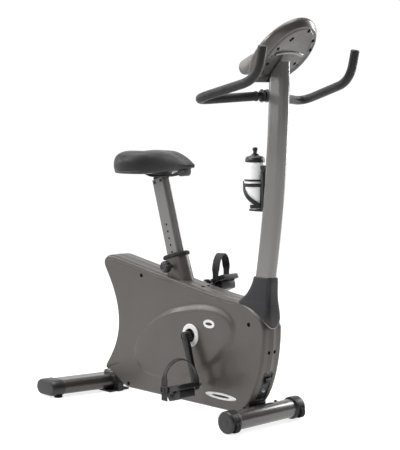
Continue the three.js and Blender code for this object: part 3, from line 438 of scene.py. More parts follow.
BLACK = surface("black_plastic", "black_plastic", (0.013, 0.013, 0.0135), 0.38, grain=1500, bump=0.12,
                wear=0.35, gloss=0.45)
BOOT = surface("boot_plastic", "black_plastic", (0.022, 0.022, 0.024), 0.46, grain=1500, bump=0.14, wear=0.3,
               gloss=0.3)
RUBBER = surface("rubber", "rubber", (0.012, 0.012, 0.0125), 0.72, grain=1100, bump=0.25, wear=0.3, gloss=0.3)
STRAP = surface("strap_rubber", "rubber", (0.014, 0.014, 0.0145), 0.55, grain=1400, bump=0.2, wear=0.3,
                lines=260, gloss=0.3)
FOAM = surface("grip_foam", "rubber", (0.014, 0.0135, 0.015), 0.5, grain=1700, bump=0.5, vary=0.2, sheen=0.08,
               cells=900, cell_bump=0.2, gloss=0.3)
VINYL = surface("saddle_vinyl", "vinyl", (0.013, 0.0128, 0.0135), 0.42, grain=1500, bump=0.15, cells=520,
                cell_bump=0.45, vary=0.15, wear=0.2, sheen=0.05, gloss=0.3)
STEEL = surface("steel", "steel", (0.55, 0.55, 0.56), 0.28, metal=1.0, grain=500, bump=0.05,
                stretch=(1, 1, 18))
IRON = surface("iron", "iron", (0.22, 0.22, 0.23), 0.5, metal=0.9, grain=400, bump=0.3, vary=0.2)
WHITE = surface("white_plastic", "white_plastic", (0.62, 0.61, 0.6), 0.35, grain=1200, bump=0.06, vary=0.03,
                wear=0.1)
RED = surface("red_plastic", "red_plastic", (0.42, 0.02, 0.015), 0.35, grain=1200, bump=0.06, wear=0.1)
SILVER = surface("badge_silver", "white_plastic", (0.62, 0.62, 0.61), 0.3, metal=0.3, grain=1600, bump=0.05,
                 vary=0.05)
BOTTLE = surface("bottle_plastic", "bottle_body", (0.92, 0.925, 0.925), 0.38, grain=800, bump=0.08,
                 vary=0.03, clear=0.15)
LENS = surface("lens", "lens", (0.006, 0.008, 0.01), 0.14, grain=300, bump=0.01, spread=0.04, coat=0.4)

# --- casing
PANEL_LOW, PANEL_HIGH, PANEL_HALF = 84, 176, 23


def casing_outline():
    """The side outline, anticlockwise, with points where the power panel's edges cross it."""
    points = [(-344 + 582 * i / 46, 35.0) for i in range(47)]
    points += [(lerp(238, 262, i / 4), lerp(35, 70, i / 4)) for i in (1, 2, 3, 4)]
    points += bezier((262, 70), (303, 110), (334, 220), (333, 322), 24)
    points += bezier((333, 322), (333, 355), (285, 396), (204, 409), 18)
    points += bezier((204, 409), (150, 412), (90, 420), (0, 436), 14)
    points += [(-400 * i / 26, 436 + 69.5 * i / 26) for i in range(1, 27)]
    points += bezier((-400, 505.5), (-440, 512), (-480, 495), (-461, 460), 16)
    points += bezier((-461, 460), (-425, 405), (-388, 345), (-388, 272), 18)
    points += bezier((-388, 272), (-388, 205), (-420, 155), (-456, 108), 18)
    points += bezier((-456, 108), (-464, 93), (-459, 85.5), (-440, 86.2), 9)
    points += [(lerp(-440, -344, i / 8), lerp(86.2, 35, i / 8)) for i in range(1, 8)]
    out = []
    for i, p in enumerate(points):
        q = points[(i + 1) % len(points)]
        out.append(p)
        for z in (PANEL_LOW, PANEL_HIGH):
            if p[0] > 200 and p[1] < z < q[1]:
                out.append((lerp(p[0], q[0], (z - p[1]) / (q[1] - p[1])), float(z)))
    return out


OUTLINE = casing_outline()


def inward_normals(points):
    out = []
    for i, p in enumerate(points):
        a, b = Vector(points[i - 1]), Vector(points[(i + 1) % len(points)])
        into, on = (Vector(p) - a).normalized(), (b - Vector(p)).normalized()
        n = Vector((-into.y - on.y, into.x + on.x))
        out.append(n.normalized() / max(0.5, n.length / 2))
    return out


NORMALS = inward_normals(OUTLINE)


def outset(d):
    return [(p[0] + n.x * d, p[1] + n.y * d) for p, n in zip(OUTLINE, NORMALS)]


def on_ellipse(grow, front=0.0):
    """The plateau's edge at each outline point's angle, with `front` added towards the front."""
    turn = radians(PLATEAU["turn"])
    out = []
    for x, z in OUTLINE:
        angle = math.atan2(z - PLATEAU["z"], x - PLATEAU["x"])
        more = grow + front * smooth(0.5 + 0.75 * cos(angle - turn))
        a, b = PLATEAU["a"] + more, PLATEAU["b"] + more
        r = a * b / hypot(b * cos(angle - turn), a * sin(angle - turn))
        out.append((PLATEAU["x"] + r * cos(angle), PLATEAU["z"] + r * sin(angle)))
    return out


def blend_rings(a, b, t):
    return [(lerp(p[0], q[0], t), lerp(p[1], q[1], t)) for p, q in zip(a, b)]


def casing_half(side):
    top = [smooth((-n.y - 0.55) / 0.3) * smooth((215 - p[0]) / 30) * smooth((p[1] - 300) / 60)
           for p, n in zip(OUTLINE, NORMALS)]
    rows = [(outset(d), y) for y, d in ((0.3, 1.6), (0.3, 0.2), (0.9, -0.5), (7.6, -0.5), (9.2, 0.1),
                                        (PANEL_HALF, 0), (28, 0), (33, 0))]
    rows += [(outset(9 * (1 - cos(t))), 33 + 11 * sin(t))
             for t in (radians(a) for a in (11, 22, 34, 46, 58, 68, 79, 90))]
    for d, depth in ((10.2, 0), (11.0, 1.0), (13.6, 1.3), (14.6, 0.3), (15.4, 0)):
        rows.append((outset(d), [HALF - depth * w for w in top]))
    rim, foot, crest = outset(15.4), on_ellipse(PLATEAU["slope"] / 2), on_ellipse(-PLATEAU["slope"] / 2, -16)
    rows += [(blend_rings(rim, foot, k / 12), HALF) for k in range(1, 13)]
    rows += [(blend_rings(foot, crest, k / 10), HALF + PLATEAU["rise"] * smooth(k / 10))
             for k in range(1, 11)]
    hole = []
    for x, z in crest:
        away = Vector((x, z - CRANK_Z)).normalized() * 22
        hole.append((away.x, CRANK_Z + away.y))
    high = HALF + PLATEAU["rise"]
    rows += [(blend_rings(crest, hole, k / 9), high) for k in range(1, 10)]
    rings = []
    for ring, y in rows:
        ys = y if isinstance(y, list) else [y] * len(ring)
        rings.append([(p[0], side * v, p[1]) for p, v in zip(ring, ys)])
    n = len(OUTLINE)
    verts, faces = grid(rings)
    kept = []
    for f in faces:
        centre = sum((verts[i] for i in f), Vector()) / len(f)
        if not (centre.x > 200 and PANEL_LOW < centre.z < PANEL_HIGH and abs(centre.y) < PANEL_HALF):
            kept.append(f)
    return verts, kept


def outward(o, side):
    """Turns the faces of an open shell outwards."""
    flat = [p for p in o.data.polygons if abs(p.normal.y) > 0.9]
    if sum(p.normal.y * p.area for p in flat) * side < 0:
        o.data.flip_normals()


for side, word in SIDES:
    shell = piece(f"casing_{word}", casing_half(side), CASING, f"{word}_shell", thickness=SKIN, sharp=32)
    outward(shell, side)


def front_x(z):
    """X of the casing's front face at a height."""
    for (x0, z0), (x1, z1) in zip(OUTLINE, OUTLINE[1:]):
        if x0 > 200 and z0 <= z <= z1:
            return lerp(x0, x1, (z - z0) / (z1 - z0))
    return 262


def screw(at, normal, r=2.9):
    """A cross-headed screw at a point of the surface."""
    head = lathe(fillet([(0, -2.5), (r, -2.5), (r, 0.2), (r * 0.55, 1.0), (0, 1.2)], 0.6), 20)
    slot_a = block((-r * 0.62, -0.45, 0.2), (r * 0.62, 0.45, 3))
    slot_b = block((-0.45, -r * 0.62, 0.2), (0.45, r * 0.62, 3))
    return moved(carved(head, slot_a, slot_b), Matrix.Translation(at) @ turned_to(normal))


def recess_shade_ring(at, normal, r=7.0):
    """A near-black ring round a screw: painted shade of the recess the screw sits in."""
    ring = lathe(fillet([(0, -0.6), (0, 0.1), (r * 0.7, 0.2), (r, 0.5), (r + 0.5, -0.6)], 0.15), 24)
    return moved(ring, Matrix.Translation(at) @ turned_to(normal))


side_screws = [(-258, 447), (266, 335), (-330, 51)]
screws = []
for side in (RIGHT, LEFT):
    for x, z in side_screws:
        screws += [screw((x, side * (HALF + 0.1), z), (0, side, 0)), recess_shade_ring((x, side * HALF, z), (0, side, 0))]
    for x, z, n in ((22, 432.6, (0.17, 0, 0.985)), (front_x(247) + 0.1, 247, (0.985, 0, -0.15))):
        screws += [screw((x, side * 13, z), n, 2.8), recess_shade_ring((x, side * 13, z), n, 5.6)]
# The screws and their rings are near black: painted shade of the screw recesses.
piece("casing_screws", joined(*screws), MATT_BLACK_AND_SHADE, sharp=50)

for side, word in SIDES:
    ring = lathe(fillet([(23, -1), (23, 3.2), (25, 4), (37.2, 2.6), (39, 0.8), (39, -1)], 0.7), 72)
    at = Matrix.Translation((0, side * (HALF + 7.3), CRANK_Z)) @ turned("X", -90 * side)
    piece(f"crank_ring_{word}", moved(ring, at), WHITE, f"crank_cover_{word}")
    dish = lathe(fillet([(0, -14), (20, -14), (21.6, 0.2), (22.8, 0.2), (22.8, -16), (0, -16)], 0.5), 48)
    piece(f"crank_dish_{word}", moved(dish, at), BLACK)


def badge(a, b, rise):
    """A plain domed oval with a raised rim and a plain dark inlay."""
    steps = [(1.0, -0.6), (1.0, 0.5), (0.97, rise), (0.93, rise), (0.9, rise * 0.7), (0.5, rise * 0.8),
             (0.0, rise * 0.85)]
    plate = grid([oval(a * k, b * k, h, 64) for k, h in steps])
    top = [(0.0, rise * 0.85 + 0.25), (0.5, rise * 0.8 + 0.25), (0.66, rise * 0.7)]
    inlay = grid([oval(a * k * 0.95, b * k * 0.62, h, 48) for k, h in top])
    return plate, inlay


for side, word in SIDES:
    for n, (x, z, a, b, y) in enumerate(((90, 317, 27, 14.5, HALF + PLATEAU["rise"]),
                                         (139, 80, 72.5, 11, HALF))):
        turn = Matrix(((1, 0, 0, x), (0, 0, side, side * y), (0, 1, 0, z), (0, 0, 0, 1)))
        plate, inlay = badge(a, b, 1.6)
        piece(f"badge_{n}_{word}", moved(plate, turn), SILVER)
        piece(f"badge_inlay_{n}_{word}", moved(inlay, turn), BLACK)


# --- power panel
def front_plate(z0, z1, y0, y1, deep, thick, steps=14):
    zs = [lerp(z0, z1, i / steps) for i in range(steps + 1)]
    ring = [(front_x(z) - deep, z) for z in zs] + [(front_x(z) - deep - thick, z) for z in reversed(zs)]
    return slab(ring, y0, y1)


plate = front_plate(PANEL_LOW + 0.3, PANEL_HIGH - 0.3, -22.7, 22.7, 3, 9)
plate = carved(plate, block((296, -9, 141), (340, 15, 165)),
               shifted(moved(drum(5.2, -20, 20), turned("Z", 90)), x=305, z=117))
rim = joined(front_plate(PANEL_LOW + 0.3, PANEL_LOW + 3.3, -22.7, 22.7, 0.8, 5, 2),
             front_plate(PANEL_HIGH - 3.3, PANEL_HIGH - 0.3, -22.7, 22.7, 0.8, 5, 2),
             front_plate(PANEL_LOW + 1, PANEL_HIGH - 1, -22.7, -19.9, 0.8, 5),
             front_plate(PANEL_LOW + 1, PANEL_HIGH - 1, 19.9, 22.7, 0.8, 5))
louvres = joined(*[front_plate(88.5 + 3.4 * i, 90.3 + 3.4 * i, -17, 17, 1.6, 3, 1) for i in range(5)])
bezel = joined(front_plate(138.4, 141, -11.5, 17.5, 1.9, 2.6, 2),
               front_plate(165, 167.6, -11.5, 17.5, 1.9, 2.6, 2),
               front_plate(139, 167, -11.5, -9, 1.9, 2.6, 4), front_plate(139, 167, 15, 17.5, 1.9, 2.6, 4))
piece("power_plate", joined(plate, rim, louvres, bezel), BLACK, "power_panel", bevel=0.5)
jack_at = Matrix.Translation((front_x(117) - 3, 0, 117)) @ turned("Y", 70)
jack = lathe(fillet([(3.2, -8), (3.2, 1.6), (4.4, 2.2), (6.6, 1.2), (6.6, -1), (5.2, -8)], 0.4), 32)
jack = joined(jack, lathe([(0, -7), (1.1, -7), (1.1, -0.5), (0, 0)], 12))
piece("power_jack", moved(jack, jack_at), STEEL)
rocker_side = fillet([(298, 144.5), (312.6, 145.2), (311, 153), (313.4, 160.8), (298, 161.5)], 1.2,
                     closed=True)
piece("rocker", slab(rocker_side, -8.2, 14.2), BLACK, "power_switch", bevel=0.6)

# --- stabilisers
FRONT_X, FRONT_Z = 288, 37
STRIP_OUT, STRIP_IN = 32.6, 31.3  # radii of the strip on the front tube
tube_profile = fillet([(29, -134), (31.5, -134), (31.5, 134), (29, 134)], 0.8)
piece("front_tube", spun(tube_profile + [tube_profile[0]], 96, FRONT_X, z=FRONT_Z), SHADED_FRONT_TUBE,
      "front_stabilizer")
WHEEL_X, WHEEL_Z, WHEEL_Y = 312, 26, 152
for side, word in SIDES:
    profile = fillet([(31.9, -128), (35.6, -130.6), (37, -133), (37, -166), (34.5, -170.5), (30, -172),
                      (0, -172), (0, -135), (31.9, -135)], 1.4)
    cap = spun(profile, 72, FRONT_X, z=FRONT_Z)
    rib = drum(37.6, -140.9, -139.1, FRONT_X, FRONT_Z, 72, 0.6)
    cap = carved(cap, drum(23, -162.5, -141.5, WHEEL_X, WHEEL_Z, 48))
    arms = [drum(12, -WHEEL_Y + s * 13 - 2.4, -WHEEL_Y + s * 13 + 2.4, WHEEL_X, WHEEL_Z, 32, 0.8)
            for s in (-1, 1)]
    pin = drum(3, -WHEEL_Y - 14.5, -WHEEL_Y + 14.5, WHEEL_X, WHEEL_Z, 20, 0.6)
    bolt = drum(5, -WHEEL_Y - 17.5, -WHEEL_Y - 14.5, WHEEL_X, WHEEL_Z, 6, 0.4)
    hub = drum(11, -172.8, -170, FRONT_X, FRONT_Z, 40, 0.8)
    piece(f"front_end_{word}", sided(joined(cap, rib, *arms, pin, bolt, hub), side), BLACK,
          f"front_cap_{word}", sharp=45)
    tread = [(3.4, -9), (12.5, -9), (13.5, -6), (17, -6), (18.5, -9), (20.2, -8.2), (20.6, -3.2),
             (19.6, -2.4), (19.6, 2.4), (20.6, 3.2), (20.2, 8.2), (18.5, 9), (17, 6), (13.5, 6), (12.5, 9),
             (3.4, 9), (3.4, -9)]
    roller = spun(fillet(tread, 0.8), 56, WHEEL_X, -WHEEL_Y, WHEEL_Z)
    piece(f"roller_{word}", sided(roller, side), RUBBER, f"transport_wheel_{word}")

REAR_X, REAR_Z, REAR_SWEEP = -495, 34, tan(radians(10.8))
REAR_LONG, REAR_HIGH = 100, 52  # the rear tube's section


def rear_ring(y, length, height):
    section = round_box(length, height, height / 2 - 0.01, 10)
    sweep_back = REAR_SWEEP * (hypot(y, 12) - 4)
    return [(REAR_X - sweep_back + u, y, REAR_Z + v) for u, v in section]


def round_rear(steps):
    """A skin round the rear tube, through (y, extra size) steps."""
    return loft([rear_ring(y, REAR_LONG + extra, REAR_HIGH + extra) for y, extra in steps])


stations = [-226] + [-220 + 10 * i for i in range(45)] + [226]
piece("rear_tube", loft([rear_ring(y, REAR_LONG, REAR_HIGH) for y in stations]), REAR, "rear_stabilizer")
for side, word in SIDES:
    steps = [(-207.5, 1.2), (-208.5, 4.0), (-210.5, 5.2), (-242, 5.2), (-249, 3.6), (-253.5, 0),
             (-255.5, -6), (-256, -14)]
    band = ((-213, 4.8), (-213.6, 6.0), (-216.4, 6.0), (-217, 4.8))
    piece(f"rear_end_{word}", sided(joined(round_rear(steps), round_rear(band)), side), BLACK,
          f"rear_cap_{word}")
    foot = lathe(fillet([(0, 0), (14.5, 0), (16, 1.2), (16, 3), (14.8, 3.4), (14.8, 5.2), (9, 12), (0, 12)],
                        0.6), 48, 16, 0.5)
    piece(f"rear_pad_{word}", sided(shifted(foot, -508, -222), side), RUBBER, f"rear_foot_{word}")

yoke = loft([[(x, y, 55 + v) for y, v in round_box(31, 40, 8, 6)] for x in (-502, -422)])
piece("yoke_cover", yoke, REAR, bevel=1.5)

strip = []
for y in (-46, 46):
    ring = []
    for i in range(15):
        a = radians(78 + 74 * i / 14)
        ring.append((FRONT_X + STRIP_OUT * cos(a), y, FRONT_Z + STRIP_OUT * sin(a)))
    ring += [(FRONT_X + (x - FRONT_X) * STRIP_IN / STRIP_OUT, y,
              FRONT_Z + (z - FRONT_Z) * STRIP_IN / STRIP_OUT) for x, _, z in reversed(ring)]
    strip.append(ring)
piece("tube_grip_strip", loft(strip), RUBBER, bevel=0.3)
bracket = fillet([(236, 40), (262, 46), (263, 62), (266, 68), (262, 78), (240, 60)], 3, closed=True)
piece("front_bracket", slab(bracket, -40, 40), BLACK_PAINT, bevel=1.2)
bolts = []
for side in (RIGHT, LEFT):
    head = joined(lathe(fillet([(0, 0), (6.5, 0), (6.5, 1.4), (0, 1.8)], 0.5), 28),
                  lathe(fillet([(0, 1), (4.6, 1), (4.6, 5.2), (0, 5.6)], 0.8), 6))
    bolts.append(moved(head, Matrix.Translation((277, side * 74, 66.4)) @ turned_to((-0.35, 0, 0.93))))
piece("tube_bolts", joined(*bolts), BLACK_PAINT, sharp=30)


# --- mast and boot
def mast_x(z):
    drop = max(0.0, 1120 - z)
    return 354.5 - drop * drop / 8600 - 0.012 * drop


face = Vector((-sin(radians(CONSOLE_TILT)), 0, cos(radians(CONSOLE_TILT))))  # out of the console's face
up_face = Vector((cos(radians(CONSOLE_TILT)), 0, sin(radians(CONSOLE_TILT))))
console_at = Matrix.Translation(CONSOLE_AT) @ turned("Y", -CONSOLE_TILT)


def plate_z(x, depth):
    """Height of the plane that lies `depth` behind the console's rim, at X."""
    return CONSOLE_AT[2] + (-depth - face.x * (x - CONSOLE_AT[0])) / face.z


mast_section = round_box(68, 42, 16, 10)
mast_rings = []
for i in range(41):
    z = lerp(345, 1112, i / 40)
    tilt = (mast_x(z + 1) - mast_x(z - 1)) / 2
    mast_rings.append([(mast_x(z) + u, v, z - u * tilt) for u, v in mast_section])
mast_rings.append([(mast_x(1130) + u, v, plate_z(mast_x(1130) + u, 20)) for u, v in mast_section])
piece("mast_tube", loft(mast_rings), TUBE, "mast")

BOOT_LEVELS = [(322, 306, 337.5, 30, 26), (340, 285, 338.5, 40, 32), (358, 260, 339, 45.5, 33),
               (382, 234, 338, 45.5, 31), (404, 210, 336, 45.5, 28), (416, 224, 335.5, 42, 26),
               (436, 243, 335, 37, 24.5), (462, 256, 336, 31, 23.5), (488, 262.5, 337.5, 26, 23)]


def boot_ring(z, rear, front, half, front_half, shrink=0.0):
    corner = min(15, half - 2)
    middle = (front + rear) / 2
    out = []
    for u, v in round_box(front - rear - 2 * shrink, 2 * half - 2 * shrink, corner, 7, plain=True):
        forward = (u + middle - rear) / (front - rear)
        out.append((u + middle, v * (1 - forward * (1 - front_half / half)), z))
    return out


levels = catmull(BOOT_LEVELS[:5], 5)[:-1] + catmull(BOOT_LEVELS[4:], 6)


def boot_foot(z):
    """Narrows the boot's lower edge to a rounded tongue on the casing's front."""
    t = max(0.0, min(1.0, (z - 329) / 34))
    return max(0.05, (1 - (1 - t) ** 2.4) ** 0.5)


levels = [(329.2, 300, 337.2, 34, 28), (330, 299, 337.4, 34.5, 28.4), (331.5, 297, 337.6, 35.5, 29),
          (334, 293, 338, 37, 30)] + [lv for lv in levels if lv[0] > 336]
boot_rings = []
for lv in levels:
    k = boot_foot(lv[0])
    boot_rings.append(boot_ring(lv[0], lv[1], lv[2], lv[3] * k + 3 * (1 - k), lv[4] * k + 3 * (1 - k)))
top = BOOT_LEVELS[-1]
boot_rings += [boot_ring(489.4, *top[1:], shrink=0.8), boot_ring(489.6, *top[1:], shrink=1.8),
               boot_ring(486, *top[1:], shrink=2.4)]
spine = []
for i in range(31):
    z = lerp(330, 487, i / 30)
    level = min(levels, key=lambda lv: abs(lv[0] - z))
    half = level[4] * 0.93 * boot_foot(z)
    ahead = level[2] + (1.8 if i < 29 else 0.8)
    curve = [(ahead - 5 * max(0, (abs(t) - 0.7) / 0.3) ** 2, half * t, z)
             for t in (-1, -0.92, -0.82, -0.7, -0.4, 0, 0.4, 0.7, 0.82, 0.92, 1)]
    spine.append(curve + [(level[2] - 16, half * t, z) for t in (1, 0.5, 0, -0.5, -1)])
lip = [boot_ring(z, top[1] - g, top[2] + g, top[3] + g, top[4] + g) for z, g in
       ((478, -0.5), (479, 0.6), (485.5, 1.0), (487.2, 0.6), (488, -1))]
piece("boot", joined(loft(boot_rings), loft(lip)), BOOT, "mast_boot", sharp=42)
piece("boot_front", loft(spine), BLACK, sharp=50)
# The rim is part of the casing, drawn in the lighter tube paint: a painted highlight along it.
rim_line = []
for i in range(41):
    t = lerp(-1, 1, i / 40)
    z = 327 + 44 * (1 - (1 - abs(t) ** 2.2) ** 0.6)
    rim_line.append((front_x(min(z, 396)) + 1.0 - 7 * max(0, (abs(t) - 0.75) / 0.25) ** 2, 36 * t, z))
piece("boot_rim_highlight", tube(catmull(rim_line, 3), 3.8, 16), TUBE, sharp=60)

# --- handlebar
BAR_X, BAR_Z = 300, 1070


def bar_line():
    corners = [Vector(p) for p in ((BAR_X, 0, BAR_Z), (298, -22, BAR_Z), (223, -257, 1054),
                                   (463, -214, 1117), (484, -214, 1211))]
    points = [corners[0]]
    for i, cut in ((1, 16), (2, 66), (3, 56)):
        p = corners[i]
        a = p + (corners[i - 1] - p).normalized() * cut
        b = p + (corners[i + 1] - p).normalized() * cut
        steps = 4 if i == 1 else 14
        if i > 1:
            start = points[-1]
            points += [start.lerp(a, k / 6) for k in range(1, 6)]
        points += [(1 - t) ** 2 * a + 2 * t * (1 - t) * p + t * t * b
                   for t in (k / steps for k in range(steps + 1))]
    points += [points[-1].lerp(corners[4], k / 4) for k in range(1, 5)]
    return points


BAR = bar_line()
mirror_bar = [Vector((p.x, -p.y, p.z)) for p in BAR]
whole = list(reversed(mirror_bar))[:-1] + BAR
piece("bar_tube", tube(whole, 12.5, 28), BAR_PAINT, "handlebar")
GRIP_FROM = 5
for side, word in SIDES:
    line = BAR[GRIP_FROM:]
    upward = (line[-1] - line[-2]).normalized()
    path = [line[0].lerp(line[1], t) for t in (0, 0.04, 0.08, 0.2, 0.24, 0.28)] + line[1:]
    path += [line[-1] + upward * d for d in (1.5, 3.5, 4.6, 5)]
    radii = [13.4, 15.6, 16.4, 16.4, 15.6, 14.5] + [14.5] * (len(line) - 1) + [14.4, 13.2, 11, 6]
    grip = tube(path, 14.5, 36, r_at=lambda i: radii[i])
    o = piece(f"foam_grip_{word}", sided(grip, side), FOAM, f"grip_{word}", sharp=60)

clamp = [drum(19, -24, -1.2, BAR_X, BAR_Z, 48, 1.6), drum(19, 1.2, 24, BAR_X, BAR_Z, 48, 1.6),
         drum(17.6, -3, 3, BAR_X, BAR_Z, 48), block((BAR_X, -18.6, BAR_Z - 18), (331, 18.6, BAR_Z + 18))]
bolt_heads = [moved(lathe(fillet([(0, -4), (5, -4), (5, 4), (3.4, 4), (3, 1.5), (0, 1.5)], 0.6), 24),
                    Matrix.Translation((289, y, BAR_Z + s * 17.4)) @ turned("X", 0 if s > 0 else 180))
              for y in (-12, 12) for s in (-1, 1)]
piece("bar_clamp", joined(*clamp), BLACK, "handlebar_clamp", bevel=0.8)
piece("clamp_bolts", joined(*bolt_heads), STEEL)

# --- console
FOOT_Z = 1130


def console_ring(a, b, z, shift, steps=96):
    """An ellipse in the console's own axes, put in place and kept above its flat foot."""
    out = []
    for i in range(steps):
        t = 2 * pi * i / steps
        p = console_at @ Vector((a * cos(t) + shift, b * sin(t), z))
        if p.z < FOOT_Z:
            p += up_face * ((FOOT_Z - p.z) / up_face.z)
        out.append(p)
    return out


rim_levels = [(100, 84, -16.5, 9), (103, 87, -18.5, 9), (107, 91, -20.6, 9), (111, 94.5, -20.6, 9),
              (115, 98, -18.6, 8.6), (119, 101, -14.5, 8), (125, 106.5, -9.5, 5.4), (130, 111, -5, 3),
              (133.6, 114.5, -1, 1.2), (135, 116, 2, 0), (135, 116, 7.6, 0)]
back_levels = [(0.1, 0.1, -16.5, 9), (50, 42, -16.5, 9), (97, 81.5, -16.5, 9)] + rim_levels
back_levels += [(120, 102, 7.6, 0), (0.1, 0.1, 7.6, 0)]
piece("console_shell", grid([console_ring(*lv) for lv in back_levels]), HEAD, "console_back", sharp=40)
front_levels = [(0.1, 0.1, 6, 0), (131, 112.5, 6, 0), (134.2, 115.3, 8.4, 0), (134.2, 115.3, 9.5, 0),
                (132, 113, 12.6, 0), (127.5, 109, 15, 0), (121, 104, 16, 0), (112, 95, 15.2, 0),
                (0.1, 0.1, 15.2, 0)]
window_edge = fillet([(4, -58), (92, -52), (92, 52), (4, 58)], 10, closed=True)
window = moved(loft([[(x, y, z) for x, y in window_edge] for z in (12.6, 40)]), console_at)
PAD_SIDE = [(236, 1152), (235, 1163), (240, 1174), (252, 1183), (303, 1204), (342, 1211), (338, 1190),
            (304, 1152), (292, 1140), (264, 1136), (246, 1140)]
pad_line = catmull(PAD_SIDE, 4, closed=True)
pad_rings = []
for y, k in ((-66, 0.78), (-65.4, 0.88), (-62, 0.96), (-57, 1), (-28, 1), (0, 1), (28, 1), (57, 1),
             (62, 0.96), (65.4, 0.88), (66, 0.78)):
    pad_rings.append([(286 + (x - 286) * k, y, 1172 + (zz - 1172) * k) for x, zz in pad_line])
head_front = grid([console_ring(*lv) for lv in front_levels])
key_at = Matrix.Translation((277, 0, 1193.3)) @ turned("Y", -22.4)
KEYS = (("up_key", 42, 14, WHITE), ("start_key", 0, 18, RED), ("down_key", -42, 14, WHITE))
wells = [moved(loft([[(u, v + y, h) for u, v in round_box(19, 2 * half + 1, 5)] for h in (-6, 20)]), key_at)
         for _, y, half, _ in KEYS]
piece("console_fascia", carved(head_front, window), HEAD, "console_front", sharp=40)
piece("key_pad", carved(loft(pad_rings), *wells), HEAD, sharp=40)
glass = []
for g, z in ((0, 12.4), (0, 14.6), (0.8, 15.2), (6, 15.5)):
    corners = [(4.4 + g, -57.6 + g), (91.6 - g, -51.6 + g), (91.6 - g, 51.6 - g), (4.4 + g, 57.6 - g)]
    glass.append([(x, y, z) for x, y in fillet(corners, 10, closed=True)])
piece("display_window", moved(loft(glass), console_at), LENS, "display_lens")
for name, y, half, material in KEYS:
    cap = loft([[(u * k, v * k + y, h) for u, v in round_box(18, 2 * half, 4.5)] for k, h in
                ((1, -4.8), (1, 1.0), (0.95, 2.0), (0.8, 2.4), (0.5, 2.2))])
    piece(name.replace("key", "button"), moved(cap, key_at), material, name)

neck = fillet([(268, 1113), (322, 1113), (356, 1160), (372, 1196), (330, 1196), (268, 1130)], 4, closed=True)
piece("neck_cover", slab(neck, -26, 26), BLACK, "console_neck", bevel=1.5)

# --- seat
seat_at = Matrix.Translation(SEAT_PIN) @ turned("Y", -SEAT_LEAN)


def seat_rings(levels, steps=7):
    return moved(loft([[(u, v, h) for u, v in round_box(l, w, c, steps)] for l, w, c, h in levels]), seat_at)


post_holes = [moved(drum(4, -30, -6, 0, k * HOLE_PITCH, 24), seat_at) for k in range(-1, 7)]
post = carved(seat_rings([(61, 33, 8, -36), (62, 34, 8, -35.4), (62, 34, 8, 310), (61, 33, 8, 310.6)], 6),
              *post_holes)
piece("post_tube", post, TUBE, "seat_post", sharp=30)
ticks = [moved(block((12, -17.35, k * HOLE_PITCH - 0.5), (19, -16.8, k * HOLE_PITCH + 0.5)), seat_at)
         for k in range(0, 7)]
piece("post_ticks", joined(*ticks), TUBE, body="seat", bevel=0.12)
sleeve = seat_rings([(100, 60, 28, -70), (98.4, 59.5, 28, -50), (93, 57, 27.4, 10), (90.4, 56, 27, 34),
                     (89.6, 55.4, 27, 35.8)], 10)
sleeve_bore = seat_rings([(64, 36, 8, -90), (64, 36, 8, 60)], 6)
piece("sleeve", carved(sleeve, sleeve_bore), CASING, "seat_sleeve", sharp=40)
piece("collar", seat_rings([(95, 58.5, 28.6, 29), (104, 64.6, 31.4, 30), (106.6, 66.6, 32.4, 33),
                            (106.6, 66.6, 32.4, 36.5), (103, 64, 31, 40.5), (97, 58.5, 28.5, 42.6),
                            (92, 55, 27, 43)], 10), RUBBER, "sleeve_collar")
knob_profile = fillet([(0, 0), (4.5, 0), (4.5, 19), (8, 20), (11.5, 22), (11.5, 27), (19, 31), (20.5, 34),
                       (20.5, 48), (18, 53), (12.5, 54.6), (10.5, 53), (0, 52.6)], 1.6)
knob = moved(shifted(moved(lathe(knob_profile, 96, 12, 2.0), turned("X", 90)), y=-18), seat_at)
piece("seat_knob", knob, BLACK, "adjust_knob")
clamp = seat_rings([(54, 27, 5, 280), (54, 27, 5, 300), (50, 27, 5, 318), (44, 25, 5, 322)], 4)
cross_bolts = [moved(drum(5.5, -19, 19, x, 300, 6, 0.6), seat_at) for x in (-16, 16)]
piece("seat_clamp", joined(clamp, *cross_bolts), BLACK_PAINT, "saddle_clamp", bevel=0.8)

SADDLE = [(-346, 86), (-330, 112), (-300, 125), (-262, 124), (-220, 104), (-180, 74), (-140, 50), (-100, 38),
          (-66, 31), (-46, 22), (-38, 12)]


def saddle_top(x):
    return 884 - max(0, (x + 190) / 152) ** 2 * 46 - max(0, (-300 - x) / 46) ** 2 * 16


def saddle_foot(x):
    return 803 + max(0, (x + 215) / 177) ** 1.2 * 27


def pad_low(x):
    return saddle_foot(x) + 2.5


ACROSS = [(0, 0.955), (0.22, 0.985), (0.46, 1.0), (0.7, 0.97), (0.9, 0.83), (0.985, 0.58), (1.0, 0.32),
          (0.975, 0.12), (0.88, 0.0), (0.45, 0.02), (0, 0.02)]


def saddle_ring(x, half, low, high, shrink=0.0, across=ACROSS):
    base, crown = low(x) + shrink, high(x) - shrink
    line = [(s * (half - shrink), base + (crown - base) * t) for s, t in across]
    line += [(-y, zz) for y, zz in reversed(line[1:-1])]
    return [(x, y, zz) for y, zz in catmull(line, 3, closed=True)]


stations = catmull(SADDLE, 4)
swell = 3.0
rings = [saddle_ring(x, h, pad_low, saddle_top, swell) for x, h in stations]


def pulled(ring, k, dx):
    centre = sum((Vector(p) for p in ring), Vector()) / len(ring)
    return [centre + (Vector(p) - centre) * k + Vector((dx, 0, 0)) for p in ring]


rings = [pulled(rings[0], 0.55, -3.5), pulled(rings[0], 0.86, -2.2), *rings,
         pulled(rings[-1], 0.8, 1.2), pulled(rings[-1], 0.4, 2.0)]


